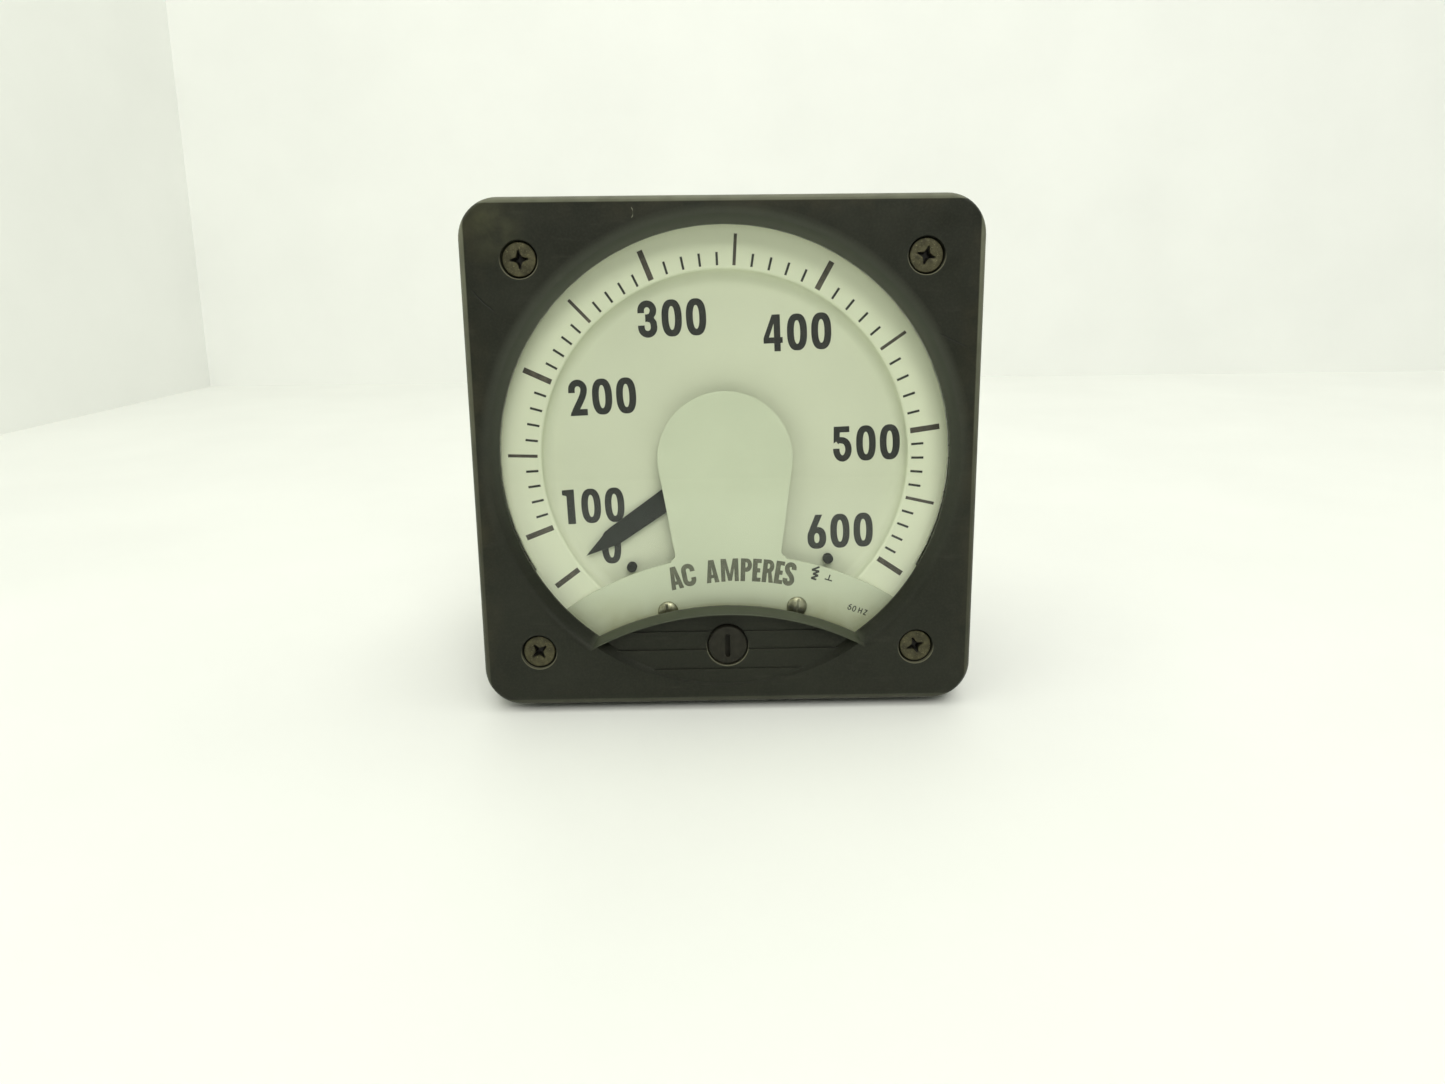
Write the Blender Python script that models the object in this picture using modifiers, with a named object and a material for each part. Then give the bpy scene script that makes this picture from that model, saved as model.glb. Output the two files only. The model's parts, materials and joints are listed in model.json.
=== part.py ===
"""Square panel ammeter with a long circular scale, as an assembly of separate pieces.

Every length below is in millimetres and is scaled to metres where a mesh is made. Depths are measured
from the front face into the meter. Each piece is built in the meter's own frame, an empty at the centre
of the front face: X to the right, Y up, Z out towards the reader, so a depth d lies at Z = -d.
"""

import math

import bmesh
import bpy
from mathutils import Matrix, Vector

MM = 0.001

# Overall size
SIDE = 111.0
CORNER = 8.5
TOTAL_DEPTH = 92.0
GAP = 0.3

# Depths of the front cover, the seal and the case
COVER_BACK = 11.4
FRONT_EDGE_ROUND = 1.45
WINDOW_DEPTH = 3.0
GLASS_SEAT = 3.8
LOWER_WALL_BACK = 7.1
SEAL_FRONT = COVER_BACK + GAP
SEAL_BACK = 12.3
FLANGE_FRONT = SEAL_BACK + GAP
FLANGE_BACK = 17.6
CASE_BACK = 73.0
CASE_WALL = 3.0
CASE_FLOOR = CASE_BACK - CASE_WALL
BARREL_RADIUS = 49.5
BORE_RADIUS = BARREL_RADIUS - CASE_WALL
TERMINAL_BOSS_BACK = CASE_BACK + 2.0

# Window: a circle cut off below by an arc that bulges up
WINDOW_RADIUS = 50.0
FUNNEL_RADIUS = 52.3
POCKET_RADIUS = 53.2
SILL_ARC_RADIUS = 67.0
SILL_ARC_CENTRE = -100.5
LENS_ARC_RADIUS = 66.1
LENS_ARC_CENTRE = -101.0
LENS_RADIUS = 51.5

# Stepped panel under the window: the height at which each board ends, and its two depths
BOARD_EDGES = (-34.0, -39.3, -43.4, -47.8, -52.0)
BOARD_DEPTHS = ((2.95, 2.7), (2.35, 2.05), (1.6, 1.3), (0.9, 0.6))

# Cover screws and mounting studs share one square pattern of 3.375 in
STUD_PITCH = 85.725
SCREW_HEAD_RADIUS = 3.55
SCREW_SHANK_RADIUS = 1.7
SCREW_HEAD_SINK = 0.5
COUNTERSINK_RADIUS = 3.95
SCREW_TURNS = {"top_left": 4, "top_right": -15, "bottom_left": 38, "bottom_right": 20}
STUD_RADIUS = 2.4
STUD_TIP = 38.0
STUD_HEAD_RADIUS = 4.2

# Dial: everything on it hangs on an axis just below the cover's centre and is rolled a little
AXIS_DROP = -0.5
DIAL_ROLL = 1.3
RING_FRONT = 9.1
DIAL_SHEET = 0.8
DIAL_RADIUS = 52.5
RECESS_RADIUS = 41.0
RECESS_FLOOR = 12.4
DIAL_BACK = RECESS_FLOOR + DIAL_SHEET
PLATE_FRONT = 8.1
PLATE_BACK = 8.8
TOMB_RADIUS = 15.4
TOMB_FOOT = 12.3
TOMB_FOOT_HEIGHT = -23.0
CRESCENT_RADIUS = 70.0
CRESCENT_TOP = -22.3
DIAL_SCREWS = {"left": (-14.55, -35.1), "right": (15.65, -35.1)}
DIAL_SCREW_HEAD_RADIUS = 2.4
STOP_RADIUS = 1.17
# Each stop pin's distance from the axis, and its angle from the top of the dial
STOP_PINS = {"left": (33.7, -137.5), "right": (34.0, 136.2)}

# Movement
POINTER_FRONT = 11.1
POINTER_SHEET = 0.3
POINTER_TIP = 39.8
POINTER_ANGLE = 124.4
SPINDLE_RADIUS = 0.8
PIVOT_RADIUS = 0.3
SPINDLE_FRONT = 10.35
SPINDLE_BACK = 51.6
MOVEMENT_PLATE_FRONT = 18.5
MOVEMENT_PLATE_BACK = 20.0
POST_HEIGHT = 27.0
COIL_FRONT = 20.3
COIL_BACK = 39.8
DISC_DEPTH = 46.0
BRIDGE_FRONT = 52.5

# Zero adjuster
ADJUSTER_HEIGHT = -42.4
ADJUSTER_THROW = 3.0
ADJUSTER_HEAD_FRONT = 1.3
ADJUSTER_HEAD_RADIUS = 4.4
ADJUSTER_HOLE_RADIUS = 4.75
LEVER_FRONT = 15.6
LEVER_BACK = 16.4

# Terminals
TERMINAL_X = 19.05
TERMINAL_RADIUS = 3.175

STEPS_LARGE = 54
STEPS_MEDIUM = 20
STEPS_SMALL = 12

COLOURS = {
    "cover_plastic": ((0.030, 0.032, 0.028), 0.0, 0.42),
    "case_plastic": ((0.022, 0.022, 0.021), 0.0, 0.55),
    "clear_glass": ((0.90, 0.93, 0.90), 0.0, 0.03),
    "seal_rubber": ((0.03, 0.03, 0.03), 0.0, 0.85),
    "bronzed_steel": ((0.13, 0.11, 0.07), 0.85, 0.45),
    "zinc_steel": ((0.55, 0.54, 0.50), 1.0, 0.35),
    "dial_paint": ((0.78, 0.80, 0.72), 0.0, 0.55),
    "nickel": ((0.60, 0.57, 0.48), 1.0, 0.28),
    "black_paint": ((0.012, 0.012, 0.012), 0.0, 0.45),
    "blackened_aluminium": ((0.010, 0.010, 0.010), 0.0, 0.5),
    "brass": ((0.66, 0.48, 0.20), 1.0, 0.32),
    "aluminium": ((0.72, 0.73, 0.74), 1.0, 0.35),
    "soft_iron": ((0.32, 0.32, 0.33), 1.0, 0.5),
    "copper_wire": ((0.62, 0.25, 0.10), 0.9, 0.35),
    "bobbin_plastic": ((0.32, 0.20, 0.10), 0.0, 0.5),
    "magnet_iron": ((0.10, 0.10, 0.11), 0.4, 0.5),
    "spring_bronze": ((0.55, 0.34, 0.14), 1.0, 0.3),
}

for old in list(bpy.data.objects):
    bpy.data.objects.remove(old, do_unlink=True)

parts = bpy.data.collections.new("analog_panel_meter")
cutters = bpy.data.collections.new("cutters")
bpy.context.scene.collection.children.link(parts)
bpy.context.scene.collection.children.link(cutters)


def make_material(name):
    colour, metallic, roughness = COLOURS[name]
    material = bpy.data.materials.new(name)
    material.use_nodes = True
    shader = material.node_tree.nodes["Principled BSDF"]
    shader.inputs["Base Color"].default_value = (*colour, 1.0)
    shader.inputs["Metallic"].default_value = metallic
    shader.inputs["Roughness"].default_value = roughness
    return material


materials = {name: make_material(name) for name in COLOURS}


def make_empty(name, parent=None, location=(0, 0, 0), turn=(0, 0, 0)):
    empty = bpy.data.objects.new(name, None)
    parts.objects.link(empty)
    empty.parent = parent
    empty.location = Vector(location) * MM
    empty.rotation_euler = [math.radians(angle) for angle in turn]
    return empty


meter = make_empty("meter_frame", None, (0, -TOTAL_DEPTH / 2, SIDE / 2), (90, 0, 0))
dial_axis = make_empty("dial_axis", meter, (0, AXIS_DROP, 0), (0, 0, DIAL_ROLL))
spindle_axis = make_empty("spindle_axis", meter, (0, AXIS_DROP, 0), (0, 0, POINTER_ANGLE))
lever_axis = make_empty("lever_axis", meter, (0, AXIS_DROP, 0))
adjuster_axis = make_empty("adjuster_axis", meter, (0, ADJUSTER_HEIGHT, 0))


# Outlines, as lists of points in millimetres


def arc(centre, radius, start, end, count):
    """Points along an arc, its angles in degrees counter-clockwise from +X, both ends included."""
    angles = [math.radians(start + (end - start) * i / count) for i in range(count + 1)]
    return [
        (centre[0] + radius * math.cos(a), centre[1] + radius * math.sin(a))
        for a in angles
    ]


def circle(centre, radius, count=STEPS_SMALL):
    return arc(centre, radius, 0, 360 - 360 / count, count - 1)


def rectangle(low, high):
    return [low, (high[0], low[1]), high, (low[0], high[1])]


def rounded_square(side, corner, count=5):
    points = []
    for quarter in range(4):
        middle = math.radians(45 + 90 * quarter)
        reach = (side / 2 - corner) * math.sqrt(2)
        centre = (reach * math.cos(middle), reach * math.sin(middle))
        points += arc(centre, corner, 90 * quarter, 90 * quarter + 90, count)
    return points


def circle_above_arc(radius, arc_radius, arc_centre, around=42, across=8):
    """The part of a circle above an arc that bulges up into it: the shape of the window."""
    height = (radius**2 - arc_radius**2 + arc_centre**2) / (2 * arc_centre)
    half = math.sqrt(radius**2 - height**2)
    corner = math.degrees(math.atan2(height, half))
    rise = math.degrees(math.atan2(height - arc_centre, half))
    over = arc((0, 0), radius, corner, 180 - corner, around)
    under = arc((0, arc_centre), arc_radius, 180 - rise, rise, across)
    return over + under[1:-1]


def lens_outline(count=9):
    """The part of a circle below an arc: the shape of the stepped panel."""
    height = (LENS_RADIUS**2 - LENS_ARC_RADIUS**2 + LENS_ARC_CENTRE**2) / (2 * LENS_ARC_CENTRE)
    half = math.sqrt(LENS_RADIUS**2 - height**2)
    corner = math.degrees(math.atan2(height, half))
    rise = math.degrees(math.atan2(height - LENS_ARC_CENTRE, half))
    under = arc((0, 0), LENS_RADIUS, -180 - corner, corner, count)
    over = arc((0, LENS_ARC_CENTRE), LENS_ARC_RADIUS, rise, 180 - rise, count)
    return under + over[1:-1]


def cover_plate_outline():
    """Round-headed middle on a crescent-shaped foot that reaches across the bottom of the dial."""
    edge = DIAL_RADIUS - 1.0
    top_centre = CRESCENT_TOP - CRESCENT_RADIUS
    low_centre = top_centre - 14.9
    low_radius = CRESCENT_RADIUS
    height = (edge**2 - CRESCENT_RADIUS**2 + top_centre**2) / (2 * top_centre)
    corner = math.degrees(math.atan2(height, math.sqrt(edge**2 - height**2)))
    rise = math.degrees(math.atan2(height - top_centre, math.sqrt(edge**2 - height**2)))
    low = (edge**2 - low_radius**2 + low_centre**2) / (2 * low_centre)
    low_corner = math.degrees(math.atan2(low, math.sqrt(edge**2 - low**2)))
    low_rise = math.degrees(math.atan2(low - low_centre, math.sqrt(edge**2 - low**2)))
    foot = math.degrees(math.acos((TOMB_FOOT + 1.2) / CRESCENT_RADIUS))
    right_rim = arc((0, 0), edge, low_corner, corner, 4)
    right_top = arc((0, top_centre), CRESCENT_RADIUS, rise, foot, 6)
    fillet = arc((TOMB_FOOT + 1.3, TOMB_FOOT_HEIGHT + 1.3), 1.3, 250, 180, 4)
    half = right_rim + right_top[1:] + fillet
    head = arc((0, 0), TOMB_RADIUS, -12, 192, 30)
    left = [(-x, y) for x, y in reversed(half)]
    under = arc((0, low_centre), low_radius, 180 - low_rise, low_rise, 14)
    return half + head + left + under[1:-1]


def hexagon(across_flats, turn=0):
    return arc((0, 0), across_flats / math.sqrt(3), turn, turn + 300, 5)


# Solids


def place(obj, material, parent, depth=0.0, at=(0, 0), turn=0.0):
    """Puts a piece in the parts collection, with its local origin at a point on its parent's face."""
    parts.objects.link(obj)
    obj.data.materials.clear()
    obj.data.materials.append(materials[material])
    obj.parent = parent
    obj.location = Vector((at[0], at[1], -depth)) * MM
    obj.rotation_euler = (0, 0, math.radians(turn))
    return obj


def mesh_from(name, vertices, edges=(), faces=()):
    mesh = bpy.data.meshes.new(name)
    mesh.from_pydata([Vector(v) * MM for v in vertices], list(edges), list(faces))
    return bpy.data.objects.new(name, mesh)


def settle(obj, smooth_angle=35):
    """Replaces an object's modifiers or curve with the mesh they make, closed and facing out."""
    bpy.context.scene.collection.objects.link(obj)
    bpy.context.view_layer.update()
    graph = bpy.context.evaluated_depsgraph_get()
    mesh = bpy.data.meshes.new_from_object(obj.evaluated_get(graph))
    shape = bmesh.new()
    shape.from_mesh(mesh)
    bmesh.ops.remove_doubles(shape, verts=shape.verts, dist=0.000001)
    bmesh.ops.recalc_face_normals(shape, faces=shape.faces)
    shape.to_mesh(mesh)
    shape.free()
    mesh.shade_smooth()
    mesh.set_sharp_from_angle(angle=math.radians(smooth_angle))
    name = obj.name
    bpy.data.objects.remove(obj, do_unlink=True)
    mesh.name = name
    return bpy.data.objects.new(name, mesh)


def turned(name, profile, steps=STEPS_MEDIUM, ring=False):
    """A profile of (radius, depth) pairs, front to back down its outer side, turned about Z."""
    count = len(profile)
    edges = [(i, i + 1) for i in range(count - 1)]
    if ring:
        edges.append((count - 1, 0))
    obj = mesh_from(name, [(radius, 0, -depth) for radius, depth in profile], edges)
    screw = obj.modifiers.new("Screw", "SCREW")
    screw.axis = "Z"
    screw.steps = steps
    screw.render_steps = steps
    screw.use_merge_vertices = True
    screw.merge_threshold = 0.00001
    return settle(obj)


def washer(name, inner, outer, front, back, steps=STEPS_MEDIUM):
    profile = [(inner, front), (outer, front), (outer, back), (inner, back)]
    return turned(name, profile, steps, ring=True)


def rod(name, radius, front, back, steps=STEPS_MEDIUM):
    return turned(name, [(0, front), (radius, front), (radius, back), (0, back)], steps)


def extruded(name, outlines, front, back):
    """Flat outlines, the holes among them, filled and given a thickness."""
    curve = bpy.data.curves.new(name, "CURVE")
    curve.dimensions = "2D"
    curve.fill_mode = "BOTH"
    curve.extrude = (back - front) / 2 * MM
    for outline in outlines:
        spline = curve.splines.new("POLY")
        spline.points.add(len(outline) - 1)
        for point, (x, y) in zip(spline.points, outline):
            point.co = (x * MM, y * MM, 0, 1)
        spline.use_cyclic_u = True
    obj = settle(bpy.data.objects.new(name, curve))
    obj.data.transform(Matrix.Translation((0, 0, -(front + back) / 2 * MM)))
    return obj


def block(name, low, high):
    """A box between two corners given as (x, y, depth)."""
    outline = rectangle((low[0], low[1]), (high[0], high[1]))
    return extruded(name, [outline], low[2], high[2])


def lofted(name, sections):
    """Walls between outlines of equal length at several depths, closed at both ends."""
    count = len(sections[0][1])
    vertices = [(x, y, -depth) for depth, outline in sections for x, y in outline]
    faces = [tuple(range(count)), tuple(range(len(vertices) - count, len(vertices)))]
    for row in range(len(sections) - 1):
        for i in range(count):
            a = row * count + i
            b = row * count + (i + 1) % count
            faces.append((a, b, b + count, a + count))
    return settle(mesh_from(name, vertices, (), faces))


def wire(name, points, radius):
    """A round wire along points given as (x, y, depth)."""
    curve = bpy.data.curves.new(name, "CURVE")
    curve.dimensions = "3D"
    curve.bevel_depth = radius * MM
    curve.bevel_resolution = 0 if radius < 0.3 else 2
    curve.use_fill_caps = True
    spline = curve.splines.new("POLY")
    spline.points.add(len(points) - 1)
    for point, (x, y, depth) in zip(spline.points, points):
        point.co = (x * MM, y * MM, -depth * MM, 1)
    return settle(bpy.data.objects.new(name, curve))


def combined(obj, others, operation):
    """The piece after each of the other shapes is cut from it, joined to it or kept in common."""
    for other in others:
        other.name = "cutter_" + obj.name
        cutters.objects.link(other)
        other.hide_render = True
        other.display_type = "WIRE"
        change = obj.modifiers.new(operation.title(), "BOOLEAN")
        change.operation = operation
        change.solver = "EXACT"
        change.object = other
    made = settle(obj)
    for other in others:
        other.hide_viewport = True
    return made


def cut(obj, *others):
    return combined(obj, others, "DIFFERENCE")


def joined(obj, *others):
    return combined(obj, others, "UNION")


def shared(obj, *others):
    return combined(obj, others, "INTERSECT")


def moved(obj, x, y, turn=0.0):
    """The shape's mesh turned about Z and then shifted across the face."""
    shift = Matrix.Translation((x * MM, y * MM, 0))
    obj.data.transform(shift @ Matrix.Rotation(math.radians(turn), 4, "Z"))
    return obj


def corners():
    half = STUD_PITCH / 2
    return {
        "top_left": (-half, half),
        "top_right": (half, half),
        "bottom_left": (-half, -half),
        "bottom_right": (half, -half),
    }


# Cover, window and case


def rounded_front_sections(side, corner, radius, back, count=3):
    """Outlines from the front face round its edge to the back, for a square block."""
    sections = []
    for i in range(count + 1):
        angle = math.radians(90 * i / count)
        inset = radius * (1 - math.sin(angle))
        depth = radius * (1 - math.cos(angle))
        sections.append((depth, rounded_square(side - 2 * inset, corner - inset)))
    sections.append((back, rounded_square(side, corner)))
    return sections


def stepped_panel_cutter():
    """The hollow of the panel under the window, its floor made of four overlapping boards."""
    profile = [(BOARD_EDGES[0], -1.0)]
    for top, bottom, depths in zip(BOARD_EDGES, BOARD_EDGES[1:], BOARD_DEPTHS):
        profile += [(top, depths[0]), (bottom, depths[1])]
    profile.append((BOARD_EDGES[-1], -1.0))
    half = 36.0
    count = len(profile)
    vertices = [(x, y, -depth) for x in (-half, half) for y, depth in profile]
    faces = [tuple(range(count)), tuple(range(count, 2 * count))]
    for i in range(count):
        j = (i + 1) % count
        faces.append((i, j, j + count, i + count))
    boards = settle(mesh_from("boards", vertices, (), faces))
    return shared(boards, extruded("lens", [lens_outline()], -2.0, 6.0))


def front_cover():
    sections = rounded_front_sections(SIDE, CORNER, FRONT_EDGE_ROUND, COVER_BACK)
    body = lofted("front_cover", sections)
    front = circle_above_arc(FUNNEL_RADIUS, LENS_ARC_RADIUS, LENS_ARC_CENTRE)
    inner = circle_above_arc(WINDOW_RADIUS, SILL_ARC_RADIUS, SILL_ARC_CENTRE)
    pocket = circle_above_arc(POCKET_RADIUS, SILL_ARC_RADIUS - 1.7, SILL_ARC_CENTRE)
    opening = lofted("opening", [(-0.5, front), (0, front), (WINDOW_DEPTH, inner), (9.0, inner)])
    seat = extruded("seat", [pocket], GLASS_SEAT, COVER_BACK + 1)
    cavity = rod("cavity", POCKET_RADIUS, LOWER_WALL_BACK, COVER_BACK + 1, STEPS_LARGE)
    adjuster_hole = turned(
        "adjuster_hole",
        [
            (0, -1),
            (ADJUSTER_HOLE_RADIUS, -1),
            (ADJUSTER_HOLE_RADIUS, 4.2),
            (2.8, 4.2),
            (2.8, 9),
            (0, 9),
        ],
    )
    holes = [moved(adjuster_hole, 0, ADJUSTER_HEIGHT)]
    for x, y in corners().values():
        profile = [
            (0, -1),
            (COUNTERSINK_RADIUS, -1),
            (COUNTERSINK_RADIUS, 0.9),
            (SCREW_SHANK_RADIUS + GAP, 3.1),
            (SCREW_SHANK_RADIUS + GAP, COVER_BACK + 1),
            (0, COVER_BACK + 1),
        ]
        holes.append(moved(turned("screw_hole", profile, 16), x, y))
    body = cut(body, opening, seat, cavity, stepped_panel_cutter(), *holes)
    place(body, "cover_plastic", meter)


def window():
    outer, inner = 52.7, 50.4
    outlines = [
        circle_above_arc(outer, SILL_ARC_RADIUS - 1.4, SILL_ARC_CENTRE),
        circle_above_arc(inner, SILL_ARC_RADIUS - 0.2, SILL_ARC_CENTRE),
    ]
    gasket = extruded("window_gasket", outlines, GLASS_SEAT + GAP, 4.6)
    place(gasket, "seal_rubber", meter)
    place(extruded("window_glass", outlines[:1], 4.9, 6.7), "clear_glass", meter)
    clip = [*arc((0, 0), 52.8, -30, 210, 40), *arc((0, 0), 50.6, 210, -30, 40)]
    place(extruded("glass_retainer", [clip], 7.0, 7.8), "zinc_steel", meter)


def cover_gasket():
    outlines = [rounded_square(SIDE - 1.6, CORNER - 0.8), circle((0, 0), 54.3, STEPS_LARGE)]
    outlines += [circle(centre, SCREW_SHANK_RADIUS + 0.5) for centre in corners().values()]
    place(extruded("cover_gasket", outlines, SEAL_FRONT, SEAL_BACK), "seal_rubber", meter)


def cover_screw(corner, at):
    top = SCREW_HEAD_SINK
    profile = [
        (0, top),
        (SCREW_HEAD_RADIUS, top),
        (SCREW_HEAD_RADIUS, top + 0.3),
        (SCREW_SHANK_RADIUS, 2.9),
        (SCREW_SHANK_RADIUS, 15.3),
        (1.2, 15.6),
        (0, 15.6),
    ]
    screw = turned("cover_screw_" + corner, profile, 16)
    arms = [
        block("slot", (-2.05, -0.42, top - 1), (2.05, 0.42, top + 0.9)),
        block("slot", (-0.42, -2.05, top - 1), (0.42, 2.05, top + 1.1)),
    ]
    place(cut(screw, *arms), "bronzed_steel", meter, at=at, turn=SCREW_TURNS[corner])


def mounting_stud(corner, at):
    head_front = FLANGE_FRONT + GAP
    profile = [
        (0, 15.95),
        (SCREW_SHANK_RADIUS + GAP, 15.95),
        (SCREW_SHANK_RADIUS + GAP, head_front),
        (STUD_HEAD_RADIUS, head_front),
        (STUD_HEAD_RADIUS, 16.3),
        (STUD_RADIUS, 16.3),
        (STUD_RADIUS, STUD_TIP - 0.6),
        (STUD_RADIUS - 0.6, STUD_TIP),
        (0, STUD_TIP),
    ]
    place(turned("mounting_stud_" + corner, profile, 12), "zinc_steel", meter, at=at)


def mounting_nut(corner, at):
    outlines = [hexagon(9.5, 15), circle((0, 0), STUD_RADIUS + GAP)]
    nut = extruded("mounting_nut_" + corner, outlines, 24.0, 27.3)
    place(nut, "zinc_steel", meter, at=at)


def rear_case():
    flange = extruded(
        "rear_case",
        [rounded_square(SIDE, CORNER), circle((0, 0), BORE_RADIUS + 1.5, STEPS_LARGE)],
        FLANGE_FRONT,
        FLANGE_BACK,
    )
    barrel = turned(
        "barrel",
        [
            (0, CASE_FLOOR),
            (BORE_RADIUS, CASE_FLOOR),
            (BORE_RADIUS, FLANGE_FRONT + 0.6),
            (BARREL_RADIUS, FLANGE_FRONT + 0.6),
            (BARREL_RADIUS, CASE_BACK - 1.5),
            (BARREL_RADIUS - 1.5, CASE_BACK),
            (0, CASE_BACK),
        ],
        STEPS_LARGE,
    )
    bosses = [
        moved(rod("boss", 9.0, CASE_FLOOR + 1, TERMINAL_BOSS_BACK), side * TERMINAL_X, 0)
        for side in (-1, 1)
    ]
    case = joined(flange, barrel, *bosses)
    holes = [
        moved(
            rod("hole", TERMINAL_RADIUS + GAP, CASE_FLOOR - 2, CASE_BACK + 4, 16),
            side * TERMINAL_X,
            0,
            5,
        )
        for side in (-1, 1)
    ]
    for x, y in corners().values():
        profile = [
            (0, FLANGE_FRONT - 1),
            (STUD_HEAD_RADIUS + GAP, FLANGE_FRONT - 1),
            (STUD_HEAD_RADIUS + GAP, 16.6),
            (STUD_RADIUS + GAP, 16.6),
            (STUD_RADIUS + GAP, FLANGE_BACK + 1),
            (0, FLANGE_BACK + 1),
        ]
        holes.append(moved(turned("stud_hole", profile, 14), x, y))
    place(cut(case, *holes), "case_plastic", meter)


def terminal(side_name, side):
    at = (side * TERMINAL_X, 0)
    profile = [
        (0, 64.5),
        (6.0, 64.5),
        (6.0, CASE_FLOOR - GAP),
        (TERMINAL_RADIUS, CASE_FLOOR - GAP),
        (TERMINAL_RADIUS, TOTAL_DEPTH - 0.8),
        (TERMINAL_RADIUS - 0.8, TOTAL_DEPTH),
        (0, TOTAL_DEPTH),
    ]
    place(turned("terminal_stud_" + side_name, profile, 16), "brass", meter, at=at)
    washer_front = TERMINAL_BOSS_BACK + GAP
    washer_back = washer_front + 1.2
    bore = TERMINAL_RADIUS + GAP
    ring = washer("terminal_washer_" + side_name, bore, 7.0, washer_front, washer_back, 16)
    place(ring, "brass", meter, at=at)
    outlines = [hexagon(11.1), circle((0, 0), bore)]
    nut = extruded("terminal_nut_" + side_name, outlines, 76.8, 82.3)
    place(nut, "brass", meter, at=at)


# Dial


def dial_plate():
    profile = [
        (RECESS_RADIUS, RING_FRONT),
        (DIAL_RADIUS, RING_FRONT),
        (DIAL_RADIUS, RING_FRONT + DIAL_SHEET),
        (RECESS_RADIUS + DIAL_SHEET, RING_FRONT + DIAL_SHEET),
        (RECESS_RADIUS + DIAL_SHEET, DIAL_BACK),
        (10.5, DIAL_BACK),
        (10.5, RECESS_FLOOR),
        (RECESS_RADIUS, RECESS_FLOOR),
    ]
    dial = turned("dial_plate", profile, STEPS_LARGE, ring=True)
    openings = [
        block("bridge_slot", (-9.0, -22.5, 8), (9.0, -6.0, 15)),
        block("adjuster_notch", (-6.5, -60.0, 8), (6.5, -36.6, 15)),
    ]
    for at in DIAL_SCREWS.values():
        openings.append(moved(rod("post_hole", 2.2, 11, 15, STEPS_SMALL), *at))
    place(cut(dial, *openings), "dial_paint", dial_axis)


def dial_cover_plate():
    holes = [circle(at, 1.3) for at in DIAL_SCREWS.values()]
    plate = extruded("dial_cover_plate", [cover_plate_outline(), *holes], PLATE_FRONT, PLATE_BACK)
    place(plate, "dial_paint", dial_axis)


def dial_fixing(side_name, side):
    at = DIAL_SCREWS[side_name]
    head_back = PLATE_FRONT - GAP
    angles = [math.radians(18 * i) for i in range(5)]
    radius = DIAL_SCREW_HEAD_RADIUS
    dome = [(radius * math.sin(a), head_back - 0.75 * math.cos(a)) for a in angles]
    profile = [*dome, (radius, head_back), (1.0, head_back), (1.0, 12.5), (0, 12.5)]
    screw = turned("dial_screw_" + side_name, profile, 14)
    slot = block("slot", (-3, -0.3, 6.0), (3, 0.3, 7.45))
    place(cut(screw, slot), "nickel", dial_axis, at=at, turn=90 - 12 * side)
    post = [
        (0, 12.9),
        (1.3, 12.9),
        (1.3, PLATE_BACK + GAP),
        (1.9, PLATE_BACK + GAP),
        (1.9, DIAL_BACK + GAP),
        (3.0, DIAL_BACK + GAP),
        (3.0, MOVEMENT_PLATE_FRONT - GAP),
        (0, MOVEMENT_PLATE_FRONT - GAP),
    ]
    place(turned("dial_post_" + side_name, post), "brass", dial_axis, at=at)


def stop_pin(side_name):
    ring, from_top = STOP_PINS[side_name]
    angle = math.radians(90 - from_top)
    at = (ring * math.cos(angle), ring * math.sin(angle))
    back = RECESS_FLOOR - GAP
    bevel = 0.2
    front = 10.4
    profile = [
        (0, front),
        (STOP_RADIUS - bevel, front),
        (STOP_RADIUS, front + bevel),
        (STOP_RADIUS, back),
        (0, back),
    ]
    place(turned("stop_pin_" + side_name, profile, STEPS_SMALL), "black_paint", dial_axis, at=at)


# Movement, built with the pointer straight up and turned to rest by its axis


def pointer_outline():
    """A tapered bar with a spear tip, a short tail and two side arms for the balance weights."""
    half = [
        (2.2, 31.8),
        (2.6, 12.0),
        (1.2, 4.0),
        (1.2, 2.2),
        (2.2, 1.2),
        (2.2, 0.3),
        (9.2, 0.3),
        (9.2, -0.3),
        (2.2, -0.3),
        (2.2, -1.2),
        (0.5, -2.4),
        (0.5, -9.2),
    ]
    return [(0, POINTER_TIP), *[(-x, y) for x, y in half], *[(x, y) for x, y in reversed(half)]]


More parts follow.
